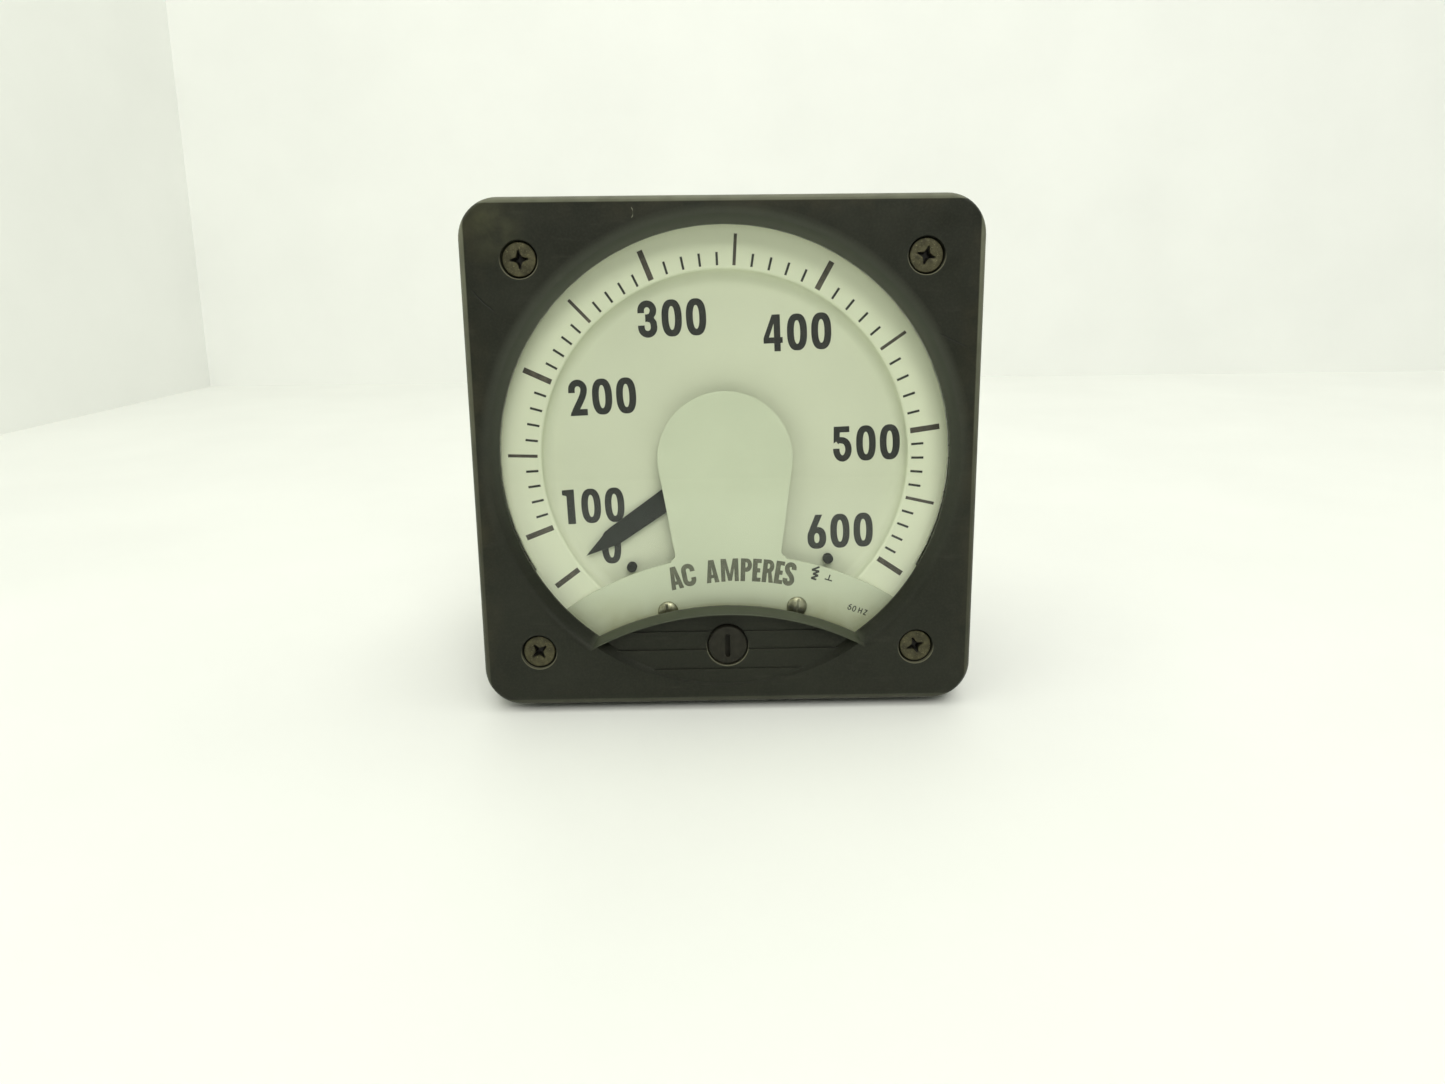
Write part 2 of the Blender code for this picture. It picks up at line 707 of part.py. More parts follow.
def moving_system():
    pointer = extruded(
        "pointer",
        [pointer_outline(), circle((0, 0), SPINDLE_RADIUS + GAP, 12)],
        POINTER_FRONT,
        POINTER_FRONT + POINTER_SHEET,
    )
    place(pointer, "blackened_aluminium", spindle_axis)
    profile = [
        (0, SPINDLE_FRONT),
        (PIVOT_RADIUS, SPINDLE_FRONT),
        (PIVOT_RADIUS, 11.0),
        (SPINDLE_RADIUS, 11.1),
        (SPINDLE_RADIUS, SPINDLE_BACK - 0.8),
        (PIVOT_RADIUS, SPINDLE_BACK - 0.7),
        (PIVOT_RADIUS, SPINDLE_BACK),
        (0, SPINDLE_BACK),
    ]
    place(turned("spindle", profile, 12), "zinc_steel", spindle_axis)
    bore = SPINDLE_RADIUS + GAP
    collar = [(bore, 11.7), (2.4, 11.7), (2.4, 13.2), (1.9, 13.2), (1.9, 15.0), (bore, 15.0)]
    place(turned("pointer_hub", collar, STEPS_SMALL, ring=True), "brass", spindle_axis)
    balance_weights()
    # The vane lies opposite the pointer, so that its weight balances the pointer's.
    sheet = [*arc((0, 0), 6.8, 245, 295, 8), *arc((0, 0), 7.2, 295, 245, 8)]
    web = rectangle((-0.25, -7.0), (0.25, -1.6))
    vane = joined(
        washer("moving_iron", bore, 1.9, 24.0, 36.0, STEPS_SMALL),
        extruded("web", [web], 25.5, 34.5),
        extruded("vane", [sheet], 24.2, 35.8),
    )
    place(vane, "soft_iron", spindle_axis)
    disc_profile = [
        (bore, DISC_DEPTH - 1.0),
        (2.6, DISC_DEPTH - 1.0),
        (2.6, DISC_DEPTH),
        (16.0, DISC_DEPTH),
        (16.0, DISC_DEPTH + 0.6),
        (2.6, DISC_DEPTH + 0.6),
        (2.6, DISC_DEPTH + 1.6),
        (bore, DISC_DEPTH + 1.6),
    ]
    disc = turned("damping_disc", disc_profile, 24, ring=True)
    place(disc, "aluminium", spindle_axis)


def balance_weights():
    """Short tubes threaded on the pointer's tail and side arms."""
    middle = POINTER_FRONT + POINTER_SHEET / 2
    for name, turn, reach in (("tail", 180, 4.6), ("left", 90, 1.6), ("right", -90, 1.6)):
        start = 8.9 - reach
        tube = washer("balance_weight_" + name, 0.62, 0.85, -reach, 0, 12)
        # The tube is turned about Z, then laid along the arm, its far end outwards.
        tube.data.transform(Matrix.Rotation(math.radians(-90), 4, "X"))
        tube.data.transform(Matrix.Translation((0, start * MM, -middle * MM)))
        place(tube, "brass", spindle_axis, turn=turn)


def hairspring():
    """Flat spiral from the spindle's collar out to the zero lever."""
    turns = 3
    count = 16
    points = []
    for i in range(int(turns * count) + 1):
        angle = 2 * math.pi * i / count - math.pi * 2 * turns
        radius = 2.4 + (9.3 - 2.4) * i / (turns * count)
        points.append((radius * math.cos(angle), radius * math.sin(angle), 14.2))
    place(wire("hairspring", points, 0.22), "spring_bronze", lever_axis)


def movement_frame():
    plate = turned(
        "movement_plate",
        [
            (1.8, LEVER_FRONT - 0.1),
            (3.5, LEVER_FRONT - 0.1),
            (3.5, MOVEMENT_PLATE_FRONT),
            (43.0, MOVEMENT_PLATE_FRONT),
            (43.0, MOVEMENT_PLATE_BACK),
            (1.8, MOVEMENT_PLATE_BACK),
        ],
        36,
        ring=True,
    )
    place(plate, "aluminium", lever_axis)
    for name, side in (("upper", 1), ("lower", -1)):
        post = rod("frame_post_" + name, 2.5, COIL_FRONT, CASE_FLOOR - GAP, STEPS_SMALL)
        place(post, "brass", lever_axis, at=(0, side * POST_HEIGHT))
    front_bridge()
    rear_bridge()


def front_bridge():
    """A strap from the movement plate up through the dial and over the spindle's front pivot."""
    front = PLATE_BACK + 0.5
    back = front + 1.0
    foot = MOVEMENT_PLATE_FRONT - GAP
    strap = extruded("front_bridge", [rectangle((-2.5, -18.0), (2.5, 2.5))], front, back)
    extras = [block("cross_bar", (-7.5, -20.5, front), (7.5, -16.5, back))]
    for side in (-1, 1):
        inner, outer = sorted((side * 5.0, side * 7.5))
        extras.append(block("leg", (inner, -20.5, front + 0.4), (outer, -19.0, foot)))
        extras.append(block("foot", (inner, -21.8, foot - 1.2), (outer, -19.0, foot)))
    bridge = cut(joined(strap, *extras), rod("hole", 1.8, front - 1, back + 1, STEPS_SMALL))
    place(bridge, "brass", lever_axis)
    profile = [
        (0, front - 0.2),
        (1.5, front - 0.2),
        (1.5, 10.8),
        (0.6, 10.8),
        (0.6, 10.1),
        (0, 10.1),
    ]
    screw = cut(
        turned("front_jewel_screw", profile, STEPS_SMALL),
        block("slot", (-2, -0.2, 8), (2, 0.2, front + 0.2)),
    )
    place(screw, "nickel", lever_axis)


def rear_bridge():
    back = BRIDGE_FRONT + 1.5
    bar = extruded(
        "rear_bridge",
        [
            rectangle((-5, -31), (5, 31)),
            circle((0, 0), 1.8),
            circle((0, POST_HEIGHT), 2.8),
            circle((0, -POST_HEIGHT), 2.8),
        ],
        BRIDGE_FRONT,
        back,
    )
    place(joined(bar, block("tab", (4, -5, BRIDGE_FRONT), (20, 5, back))), "aluminium", lever_axis)
    tip = SPINDLE_BACK
    profile = [
        (0, tip + 0.25),
        (0.6, tip + 0.25),
        (0.6, tip - 0.5),
        (1.5, tip - 0.5),
        (1.5, back + GAP),
        (2.6, back + GAP),
        (2.6, back + 1.7),
        (0, back + 1.7),
    ]
    screw = cut(
        turned("rear_jewel_screw", profile, STEPS_SMALL),
        block("slot", (-4, -0.3, back + 1.1), (4, 0.3, back + 3)),
    )
    place(screw, "nickel", lever_axis)


def coil():
    flange = 1.5
    profile = [
        (9.6, COIL_FRONT),
        (20.0, COIL_FRONT),
        (20.0, COIL_FRONT + flange),
        (10.6, COIL_FRONT + flange),
        (10.6, COIL_BACK - flange),
        (20.0, COIL_BACK - flange),
        (20.0, COIL_BACK),
        (9.6, COIL_BACK),
    ]
    place(turned("coil_bobbin", profile, 28, ring=True), "bobbin_plastic", lever_axis)
    front = COIL_FRONT + flange + GAP
    back = COIL_BACK - flange - GAP
    place(washer("coil_winding", 10.9, 18.6, front, back, 28), "copper_wire", lever_axis)
    strip = [*arc((0, 0), 8.4, -130, 50, 12), *arc((0, 0), 9.2, 50, -130, 12)]
    place(extruded("fixed_iron", [strip], 22.0, 38.0), "soft_iron", lever_axis)
    for name, side in (("left", -1), ("right", 1)):
        route = [
            (13.6, 13.6, 34.0),
            (15.2, 15.2, 34.2),
            (16.2, 16.0, 35.4),
            (16.8, 16.2, 38.0),
            (17.6, 15.4, 46.0),
            (18.6, 12.4, 55.0),
            (19.0, 8.0, 61.0),
            (19.0, 3.0, 63.2),
        ]
        lead = wire("coil_lead_" + name, [(side * x, y, depth) for x, y, depth in route], 0.8)
        place(lead, "copper_wire", lever_axis)


def damping_magnets():
    """Two magnets facing each other across the damping disc, held in a C-shaped keeper."""
    for name, front in (("front", 42.7), ("rear", 47.2)):
        magnet = block("damping_magnet_" + name, (8.5, -4.5, front), (15.0, 4.5, front + 2.7))
        place(magnet, "magnet_iron", lever_axis)
    keeper = joined(
        block("magnet_keeper", (8.5, -5, 40.4), (20.0, 5, 42.4)),
        block("web", (17.5, -5, 41.0), (20.0, 5, 51.5)),
        block("tail", (8.5, -5, 50.2), (20.0, 5, 52.2)),
    )
    place(keeper, "soft_iron", lever_axis)


# Zero adjustment


def zero_adjuster():
    """Slotted head in the stepped panel, with an off-centre pin on its inner end."""
    profile = [
        (0, ADJUSTER_HEAD_FRONT),
        (ADJUSTER_HEAD_RADIUS - 0.3, ADJUSTER_HEAD_FRONT),
        (ADJUSTER_HEAD_RADIUS, ADJUSTER_HEAD_FRONT + 0.3),
        (ADJUSTER_HEAD_RADIUS, 3.9),
        (2.5, 3.9),
        (2.5, LOWER_WALL_BACK + GAP),
        (4.0, LOWER_WALL_BACK + GAP),
        (4.0, 8.8),
        (0, 8.8),
    ]
    pin = moved(rod("pin", 0.8, 8.0, 17.2, 12), 0, ADJUSTER_THROW)
    body = joined(turned("zero_adjuster", profile), pin)
    slot = block("slot", (-0.5, -2.7, 0), (0.5, 2.7, 2.9))
    place(cut(body, slot), "case_plastic", adjuster_axis)


def zero_lever():
    """Ring round the movement plate's boss, with a forked arm down to the adjuster's pin."""
    pin = ADJUSTER_HEIGHT + ADJUSTER_THROW - AXIS_DROP
    rim = 6.2
    side_angle = math.degrees(math.asin(1.2 / rim))
    arm_angle = math.degrees(math.asin(1.5 / rim))
    half_fork = [
        (1.5, pin + 3.0),
        (3.2, pin + 3.0),
        (3.2, pin - 2.4),
        (1.15, pin - 2.4),
        (1.15, pin + 1.3),
    ]
    outline = [
        (11.6, -1.2),
        (11.6, 1.2),
        *arc((0, 0), rim, side_angle, 270 - arm_angle, 14),
        *[(-x, y) for x, y in half_fork],
        *reversed(half_fork),
        *arc((0, 0), rim, 270 + arm_angle, 360 - side_angle, 4),
    ]
    lever = extruded("zero_lever", [outline, circle((0, 0), 3.8, 16)], LEVER_FRONT, LEVER_BACK)
    stud = block("stud", (10.0, -0.8, 13.8), (11.4, 0.8, LEVER_FRONT + 0.4))
    place(joined(lever, stud), "brass", lever_axis)


front_cover()
window()
cover_gasket()
rear_case()
for corner_name, position in corners().items():
    cover_screw(corner_name, position)
    mounting_stud(corner_name, position)
    mounting_nut(corner_name, position)
dial_plate()
dial_cover_plate()
for hand, sign in (("left", -1), ("right", 1)):
    dial_fixing(hand, sign)
    stop_pin(hand)
    terminal(hand, sign)
movement_frame()
coil()
damping_magnets()
moving_system()
hairspring()
zero_adjuster()
zero_lever()
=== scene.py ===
"""Looks of a square panel ammeter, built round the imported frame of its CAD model.

Shapes are made in the meter's own space, in millimetres: X right, Y up, Z out towards the reader, with
the origin at the centre of the front face, so that a depth d lies at Z = -d. FACE carries them into the
frame's metres. Sizes that the frame knows are read from its boxes and joints.
"""

import json
import math

import bmesh
import bpy
from mathutils import Matrix, Vector


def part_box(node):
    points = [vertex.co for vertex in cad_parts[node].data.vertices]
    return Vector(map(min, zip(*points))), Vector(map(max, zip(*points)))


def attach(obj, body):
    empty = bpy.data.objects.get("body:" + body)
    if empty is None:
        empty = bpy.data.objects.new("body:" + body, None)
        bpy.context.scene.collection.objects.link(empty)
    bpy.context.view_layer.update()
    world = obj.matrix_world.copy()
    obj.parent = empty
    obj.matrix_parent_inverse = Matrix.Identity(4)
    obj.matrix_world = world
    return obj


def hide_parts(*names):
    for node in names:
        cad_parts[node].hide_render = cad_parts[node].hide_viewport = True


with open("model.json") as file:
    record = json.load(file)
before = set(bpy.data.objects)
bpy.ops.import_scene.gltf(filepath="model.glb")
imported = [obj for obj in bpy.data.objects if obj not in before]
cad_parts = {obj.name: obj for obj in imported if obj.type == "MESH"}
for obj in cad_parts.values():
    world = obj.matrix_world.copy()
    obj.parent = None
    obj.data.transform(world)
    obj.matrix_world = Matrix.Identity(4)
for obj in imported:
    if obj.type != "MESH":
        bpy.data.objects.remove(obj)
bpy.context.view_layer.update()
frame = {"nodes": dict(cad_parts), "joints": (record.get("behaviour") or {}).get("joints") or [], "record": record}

MM = 0.001
COVER_LOW, COVER_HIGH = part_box("front_cover")
FRONT = COVER_LOW.y
CENTRE = Vector((0, 0, (COVER_LOW.z + COVER_HIGH.z) / 2))
SIDE = (COVER_HIGH.x - COVER_LOW.x) / MM
PIVOTS = {joint["name"]: Vector(joint["pos_m"]) for joint in frame["joints"]}

DIAL_ROLL = 1.3


def shifted(x, y):
    return Matrix.Translation((x * MM, y * MM, 0))


def rolled(angle):
    return Matrix.Rotation(math.radians(angle), 4, "Z")


FACE = Matrix.Translation((0, FRONT, CENTRE.z)) @ Matrix.Rotation(math.radians(90), 4, "X")
AXIS_DROP = (PIVOTS["pointer_swing"].z - CENTRE.z) / MM
ADJUSTER_HEIGHT = (PIVOTS["zero_adjust"].z - CENTRE.z) / MM
AXIS = FACE @ shifted(0, AXIS_DROP)
DIAL = AXIS @ rolled(DIAL_ROLL)
ADJUSTER = FACE @ shifted(0, ADJUSTER_HEIGHT)


def span(node):
    """The front and back depths of a CAD node, in millimetres."""
    low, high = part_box(node)
    return (low.y - FRONT) / MM, (high.y - FRONT) / MM


def centre_of(node):
    """Where a CAD node's box is centred on the meter's face, in millimetres."""
    low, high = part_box(node)
    middle = (low + high) / 2 - CENTRE
    return middle.x / MM, middle.z / MM


def at_node(node, turn=0.0):
    """The space of a piece that stands on the axis of a CAD node."""
    return FACE @ shifted(*centre_of(node)) @ rolled(turn)


# Outlines


def arc(centre, radius, start, end, count):
    return oval_arc(centre, radius, radius, start, end, count)


def oval_arc(centre, across, up, start, end, count=14):
    """Points along an ellipse, its angles in degrees counter-clockwise from +X, both ends included."""
    angles = [math.radians(start + (end - start) * i / count) for i in range(count + 1)]
    return [(centre[0] + across * math.cos(a), centre[1] + up * math.sin(a)) for a in angles]


def rectangle(low, high):
    return [low, (high[0], low[1]), high, (low[0], high[1])]


def super_oval(across, up, power=2.5, count=48, centre=(0, 0)):
    """A closed oval whose sides flatten as the power grows."""
    points = []
    for i in range(count):
        angle = 2 * math.pi * i / count
        c, s = math.cos(angle), math.sin(angle)
        x = across * math.copysign(abs(c) ** (2 / power), c)
        y = up * math.copysign(abs(s) ** (2 / power), s)
        points.append((centre[0] + x, centre[1] + y))
    return points


def rounded_square(side, corner, count=14):
    points = []
    for quarter in range(4):
        middle = math.radians(45 + 90 * quarter)
        reach = (side / 2 - corner) * math.sqrt(2)
        centre = (reach * math.cos(middle), reach * math.sin(middle))
        points += arc(centre, corner, 90 * quarter, 90 * quarter + 90, count)
    return points


def spun(points, angle):
    """An outline turned about the origin, by an angle in degrees."""
    c, s = math.cos(math.radians(angle)), math.sin(math.radians(angle))
    return [(x * c - y * s, x * s + y * c) for x, y in points]


def meeting(radius, arc_radius, arc_centre):
    """Where a circle about the origin meets an arc about (0, arc_centre): the angles at both centres."""
    height = (radius**2 - arc_radius**2 + arc_centre**2) / (2 * arc_centre)
    half = math.sqrt(radius**2 - height**2)
    return [math.degrees(math.atan2(up, half)) for up in (height, height - arc_centre)]


def circle_above_arc(radius, arc_radius, arc_centre):
    """The part of a circle above an arc that bulges up into it: the shape of the window."""
    corner, rise = meeting(radius, arc_radius, arc_centre)
    over = arc((0, 0), radius, corner, 180 - corner, 150)
    under = arc((0, arc_centre), arc_radius, 180 - rise, rise, 44)
    return over + under[1:-1]


def circle_below_arc(radius, arc_radius, arc_centre):
    """The part of a circle below an arc: the shape of the stepped panel."""
    corner, rise = meeting(radius, arc_radius, arc_centre)
    under = arc((0, 0), radius, -180 - corner, corner, 48)
    over = arc((0, arc_centre), arc_radius, rise, 180 - rise, 48)
    return under + over[1:-1]


def ribbon(points, width):
    """The outline of a stroke of even width along an open line."""
    left, right = [], []
    last = len(points) - 1
    for i, point in enumerate(points):
        before = Vector(points[max(i - 1, 0)])
        after = Vector(points[min(i + 1, last)])
        along = (after - before).normalized()
        side = Vector((-along.y, along.x)) * width / 2
        left.append(tuple(Vector(point) + side))
        right.append(tuple(Vector(point) - side))
    return left + right[::-1]


def stepped(front, *steps):
    """Profile of a turned solid made of cylinders, each given as (radius, back)."""
    profile = [(0, front)]
    for radius, back in steps:
        profile += [(radius, front), (radius, back)]
        front = back
    return [*profile, (0, front)]


# Solids, made without linking them to the scene


def link(obj):
    bpy.context.scene.collection.objects.link(obj)


def mesh_from(name, vertices, edges=(), faces=()):
    mesh = bpy.data.meshes.new(name)
    mesh.from_pydata([Vector(v) * MM for v in vertices], list(edges), list(faces))
    return bpy.data.objects.new(name, mesh)


def settle(obj):
    """Replaces an object's modifiers or curve with the mesh they make, closed and facing out."""
    link(obj)
    bpy.context.view_layer.update()
    graph = bpy.context.evaluated_depsgraph_get()
    mesh = bpy.data.meshes.new_from_object(obj.evaluated_get(graph))
    shape = bmesh.new()
    shape.from_mesh(mesh)
    bmesh.ops.remove_doubles(shape, verts=shape.verts, dist=0.000001)
    bmesh.ops.recalc_face_normals(shape, faces=shape.faces)
    shape.to_mesh(mesh)
    shape.free()
    bpy.data.objects.remove(obj, do_unlink=True)
    return bpy.data.objects.new(mesh.name, mesh)


def turned(profile, steps=96, ring=False):
    """A profile of (radius, depth) pairs, front to back down its outer side, turned about Z."""
    count = len(profile)
    edges = [(i, i + 1) for i in range(count - 1)]
    if ring:
        edges.append((count - 1, 0))
    obj = mesh_from("turned", [(radius, 0, -depth) for radius, depth in profile], edges)
    screw = obj.modifiers.new("Screw", "SCREW")
    screw.axis = "Z"
    screw.steps = steps
    screw.render_steps = steps
    screw.use_merge_vertices = True
    screw.merge_threshold = 0.00001
    return settle(obj)


def extruded(outlines, front, back):
    """Flat outlines, the holes among them, filled and given a thickness."""
    curve = bpy.data.curves.new("extruded", "CURVE")
    curve.dimensions = "2D"
    curve.fill_mode = "BOTH"
    curve.extrude = (back - front) / 2 * MM
    for outline in outlines:
        spline = curve.splines.new("POLY")
        spline.points.add(len(outline) - 1)
        for point, (x, y) in zip(spline.points, outline):
            point.co = (x * MM, y * MM, 0, 1)
        spline.use_cyclic_u = True
    obj = settle(bpy.data.objects.new("extruded", curve))
    obj.data.transform(Matrix.Translation((0, 0, -(front + back) / 2 * MM)))
    return obj


def lofted(sections):
    """Walls between outlines of equal length at several depths, closed at both ends."""
    count = len(sections[0][1])
    vertices = [(x, y, -depth) for depth, outline in sections for x, y in outline]
    faces = [tuple(range(count)), tuple(range(len(vertices) - count, len(vertices)))]
    for row in range(len(sections) - 1):
        for i in range(count):
            a = row * count + i
            b = row * count + (i + 1) % count
            faces.append((a, b, b + count, a + count))
    return settle(mesh_from("lofted", vertices, (), faces))


def block(low, high):
    """A box between two corners given as (x, y, depth)."""
    return extruded([rectangle((low[0], low[1]), (high[0], high[1]))], low[2], high[2])


def combined(obj, others, operation):
    for other in others:
        link(other)
        change = obj.modifiers.new(operation.title(), "BOOLEAN")
        change.operation = operation
        change.solver = "EXACT"
        change.object = other
    made = settle(obj)
    for other in others:
        bpy.data.objects.remove(other, do_unlink=True)
    return made


def cut(obj, *others):
    return combined(obj, others, "DIFFERENCE")


def joined(obj, *others):
    return combined(obj, others, "UNION")


def shared(obj, *others):
    return combined(obj, others, "INTERSECT")


SHARP_ANGLE = 32


def softened(obj, width, segments=2, angle=SHARP_ANGLE):
    """The shape with its sharp edges rounded over."""
    bevel = obj.modifiers.new("Bevel", "BEVEL")
    bevel.width = width * MM
    bevel.segments = segments
    bevel.limit_method = "ANGLE"
    bevel.angle_limit = math.radians(angle)
    bevel.use_clamp_overlap = True
    return settle(obj)


def gathered(shapes):
    """Several shapes as one mesh."""
    whole = bmesh.new()
    for shape in shapes:
        whole.from_mesh(shape.data)
        bpy.data.objects.remove(shape, do_unlink=True)
    mesh = bpy.data.meshes.new("gathered")
    whole.to_mesh(mesh)
    whole.free()
    return bpy.data.objects.new("gathered", mesh)


def moved(obj, x, y, turn=0.0):
    obj.data.transform(shifted(x, y) @ rolled(turn))
    return obj


def add(obj, name, where, slot, *nodes, body="housing", material=None):
    """Puts a finished shape in the scene as a piece of the object that rides on one CAD body."""
    obj.data.transform(where)
    obj.name = name
    obj.data.name = name
    link(obj)
    obj.data.materials.clear()
    obj.data.materials.append(material or MATERIALS[slot])
    obj.data.shade_smooth()
    obj.data.set_sharp_from_angle(angle=math.radians(SHARP_ANGLE))
    even = obj.modifiers.new("WeightedNormal", "WEIGHTED_NORMAL")
    even.keep_sharp = True
    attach(obj, body)
    if nodes:
        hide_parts(*nodes)


# Sizes of the front cover

CORNER = 8.5
WINDOW_RADIUS = 50.0
WINDOW_DEPTH = 3.0
FUNNEL_RADIUS = 52.3
SILL_ARC = (66.8, -100.5)
LENS_ARC = (66.25, -101.0)
LENS_RADIUS = 51.5
POCKET_RADIUS = 53.2
GLASS_SEAT = 3.8
LOWER_WALL_BACK = 7.1
BOARD_EDGES = (-34.0, -39.3, -43.4, -47.8, -52.0)
BOARD_DEPTHS = ((2.95, 2.70), (2.35, 2.05), (1.60, 1.30), (0.90, 0.60))
# Each cover screw, and how far its cross recess is turned.
SCREWS = {"top_left": 4, "top_right": -15, "bottom_left": 38, "bottom_right": 20}
COUNTERSINK_RADIUS = 3.95
SHANK_RADIUS = 1.7
ADJUSTER_HOLE_RADIUS = 4.75


# Materials


def feed(socket, value):
    """Sets an input to a plain value, or links it to the output that is to feed it."""
    if isinstance(value, bpy.types.NodeSocket):
        socket.id_data.links.new(value, socket)
    else:
        socket.default_value = value


def add_node(tree, kind, inputs=(), **settings):
    node = tree.nodes.new(kind)
    for key, value in settings.items():
        setattr(node, key, value)
    for key, value in dict(inputs).items():
        feed(node.inputs[key], value)
    return node


class Paint:
    """A node material whose textures are measured in millimetres of the object.

    x, height and depth say where a point lies from the middle of the meter's face. The base is the
    colour so far.
    """

    def __init__(self, name, colour, roughness, metallic=0.0):
        self.material = bpy.data.materials.new(name)
        self.material.use_nodes = True
        self.tree = self.material.node_tree
        self.shader = self.tree.nodes["Principled BSDF"]
        self.set("Base Color", (*colour, 1))
        self.set("Roughness", roughness)
        self.set("Metallic", metallic)
        at = self.node("ShaderNodeTexCoord").outputs["Object"]
        scaled = self.node("ShaderNodeVectorMath", {0: at, "Scale": 1 / MM}, operation="SCALE")
        self.space = scaled.outputs["Vector"]
        split = self.node("ShaderNodeSeparateXYZ", {0: self.space})
        self.x = split.outputs["X"]
        self.height = self.math("SUBTRACT", split.outputs["Z"], CENTRE.z / MM)
        self.depth = self.math("SUBTRACT", split.outputs["Y"], FRONT / MM)
        self.base = colour
        self.last_bump = None

    def set(self, name, value):
        feed(self.shader.inputs[name], value)

    def node(self, kind, inputs=(), **settings):
        return add_node(self.tree, kind, inputs, **settings)

    def noise(self, size, detail=4.0, stretch=(1, 1, 1), offset=0.0):
        """Cloudy noise whose lumps are about size millimetres, from 0 to 1."""
        scale = [1 / (size * s) for s in stretch]
        inputs = {"Vector": self.space, "Location": (offset, offset, offset), "Scale": scale}
        mapped = self.node("ShaderNodeMapping", inputs).outputs["Vector"]
        inputs = {"Vector": mapped, "Scale": 1.0, "Detail": detail}
        return self.node("ShaderNodeTexNoise", inputs).outputs["Fac"]

    def specks(self, size, share):
        """Small round spots, one to each cell of the given size, covering a share of it."""
        node = self.node("ShaderNodeTexVoronoi", {"Vector": self.space, "Scale": 1 / size})
        return self.between(node.outputs["Distance"], share, share * 0.6)

    def between(self, source, low, high, to_low=0.0, to_high=1.0):
        limits = {"From Min": low, "From Max": high, "To Min": to_low, "To Max": to_high}
        return self.node("ShaderNodeMapRange", {"Value": source, **limits}).outputs["Result"]

    def patches(self, size, detail, low, high, to_low=0.0, to_high=1.0, offset=0.0):
        """Noise stretched so that what lies between low and high fills the range."""
        return self.between(self.noise(size, detail, offset=offset), low, high, to_low, to_high)

    def math(self, operation, first, second=0.0):
        return self.node("ShaderNodeMath", {0: first, 1: second}, operation=operation).outputs["Value"]

    def product(self, first, *others):
        for other in others:
            first = self.math("MULTIPLY", first, other)
        return first

    def gap(self, first, second):
        """How far apart two values are, whichever is larger."""
        return self.math("ABSOLUTE", self.math("SUBTRACT", first, second))

    def away(self, centre):
        """How far each point lies from an axis through the face, in millimetres."""
        across = self.math("POWER", self.math("SUBTRACT", self.x, centre[0]), 2)
        up = self.math("POWER", self.math("SUBTRACT", self.height, centre[1]), 2)
        return self.math("SQRT", self.math("ADD", across, up))

    def mix(self, factor, first, second):
        ends = [(*end, 1) if isinstance(end, tuple) else end for end in (first, second)]
        inputs = {"Factor": factor, "A": ends[0], "B": ends[1]}
        return self.node("ShaderNodeMix", inputs, data_type="RGBA").outputs["Result"]

    def mottle(self, size, dark, light, detail=6):
        """Makes the base out of clouds of two colours."""
        self.base = self.mix(self.patches(size, detail, 0.35, 0.68), dark, light)

    def coat(self, colour, *factors):
        """Lays a colour over the base, as far as the product of its factors."""
        self.base = self.mix(self.product(*factors), self.base, colour)

    def bump(self, height, depth):
        """Relief of the given depth in millimetres, on top of any relief already there."""
        inputs = {"Height": height, "Strength": 1.0, "Distance": depth * MM}
        if self.last_bump:
            inputs["Normal"] = self.last_bump
        self.last_bump = self.node("ShaderNodeBump", inputs).outputs["Normal"]
        self.set("Normal", self.last_bump)

    def finished(self, gloss=None, *reliefs):
        """The material in its base colour.

        Gloss is (lump size, detail, offset, lowest roughness, highest roughness), and each relief is
        (lump size, detail, depth).
        """
        self.set("Base Color", self.base)
        if gloss:
            size, detail, offset, low, high = gloss
            self.set("Roughness", self.patches(size, detail, 0.3, 0.7, low, high, offset))
        for size, detail, depth in reliefs:
            self.bump(self.noise(size, detail), depth)
        return self.material


def scratch(paint, start, middle, end, width):
    """A factor that is 1 along the arc through three points of the face, and 0 elsewhere."""
    (ax, ay), (bx, by), (cx, cy) = start, middle, end
    d = 2 * (ax * (by - cy) + bx * (cy - ay) + cx * (ay - by))
    a2, b2, c2 = ax * ax + ay * ay, bx * bx + by * by, cx * cx + cy * cy
    ux = (a2 * (by - cy) + b2 * (cy - ay) + c2 * (ay - by)) / d
    uy = (a2 * (cx - bx) + b2 * (ax - cx) + c2 * (bx - ax)) / d
    off = paint.gap(paint.away((ux, uy)), math.hypot(ax - ux, ay - uy))
    along = paint.gap(paint.x, (ax + cx) / 2)
    half = abs(cx - ax) / 2
    return paint.product(paint.between(off, width, width * 0.2), paint.between(along, half, half * 0.7))


def lower_rim(paint, centre, inner, outer):
    """A factor that is 1 on the lower half of a thin ring of the face, and 0 elsewhere."""
    half = (outer - inner) / 2
    off = paint.gap(paint.away(centre), inner + half)
    drop = paint.math("SUBTRACT", paint.height, centre[1])
    ring = paint.between(off, half, half * 0.5)
    return paint.product(ring, paint.between(drop, inner * 0.2, -inner * 0.5))


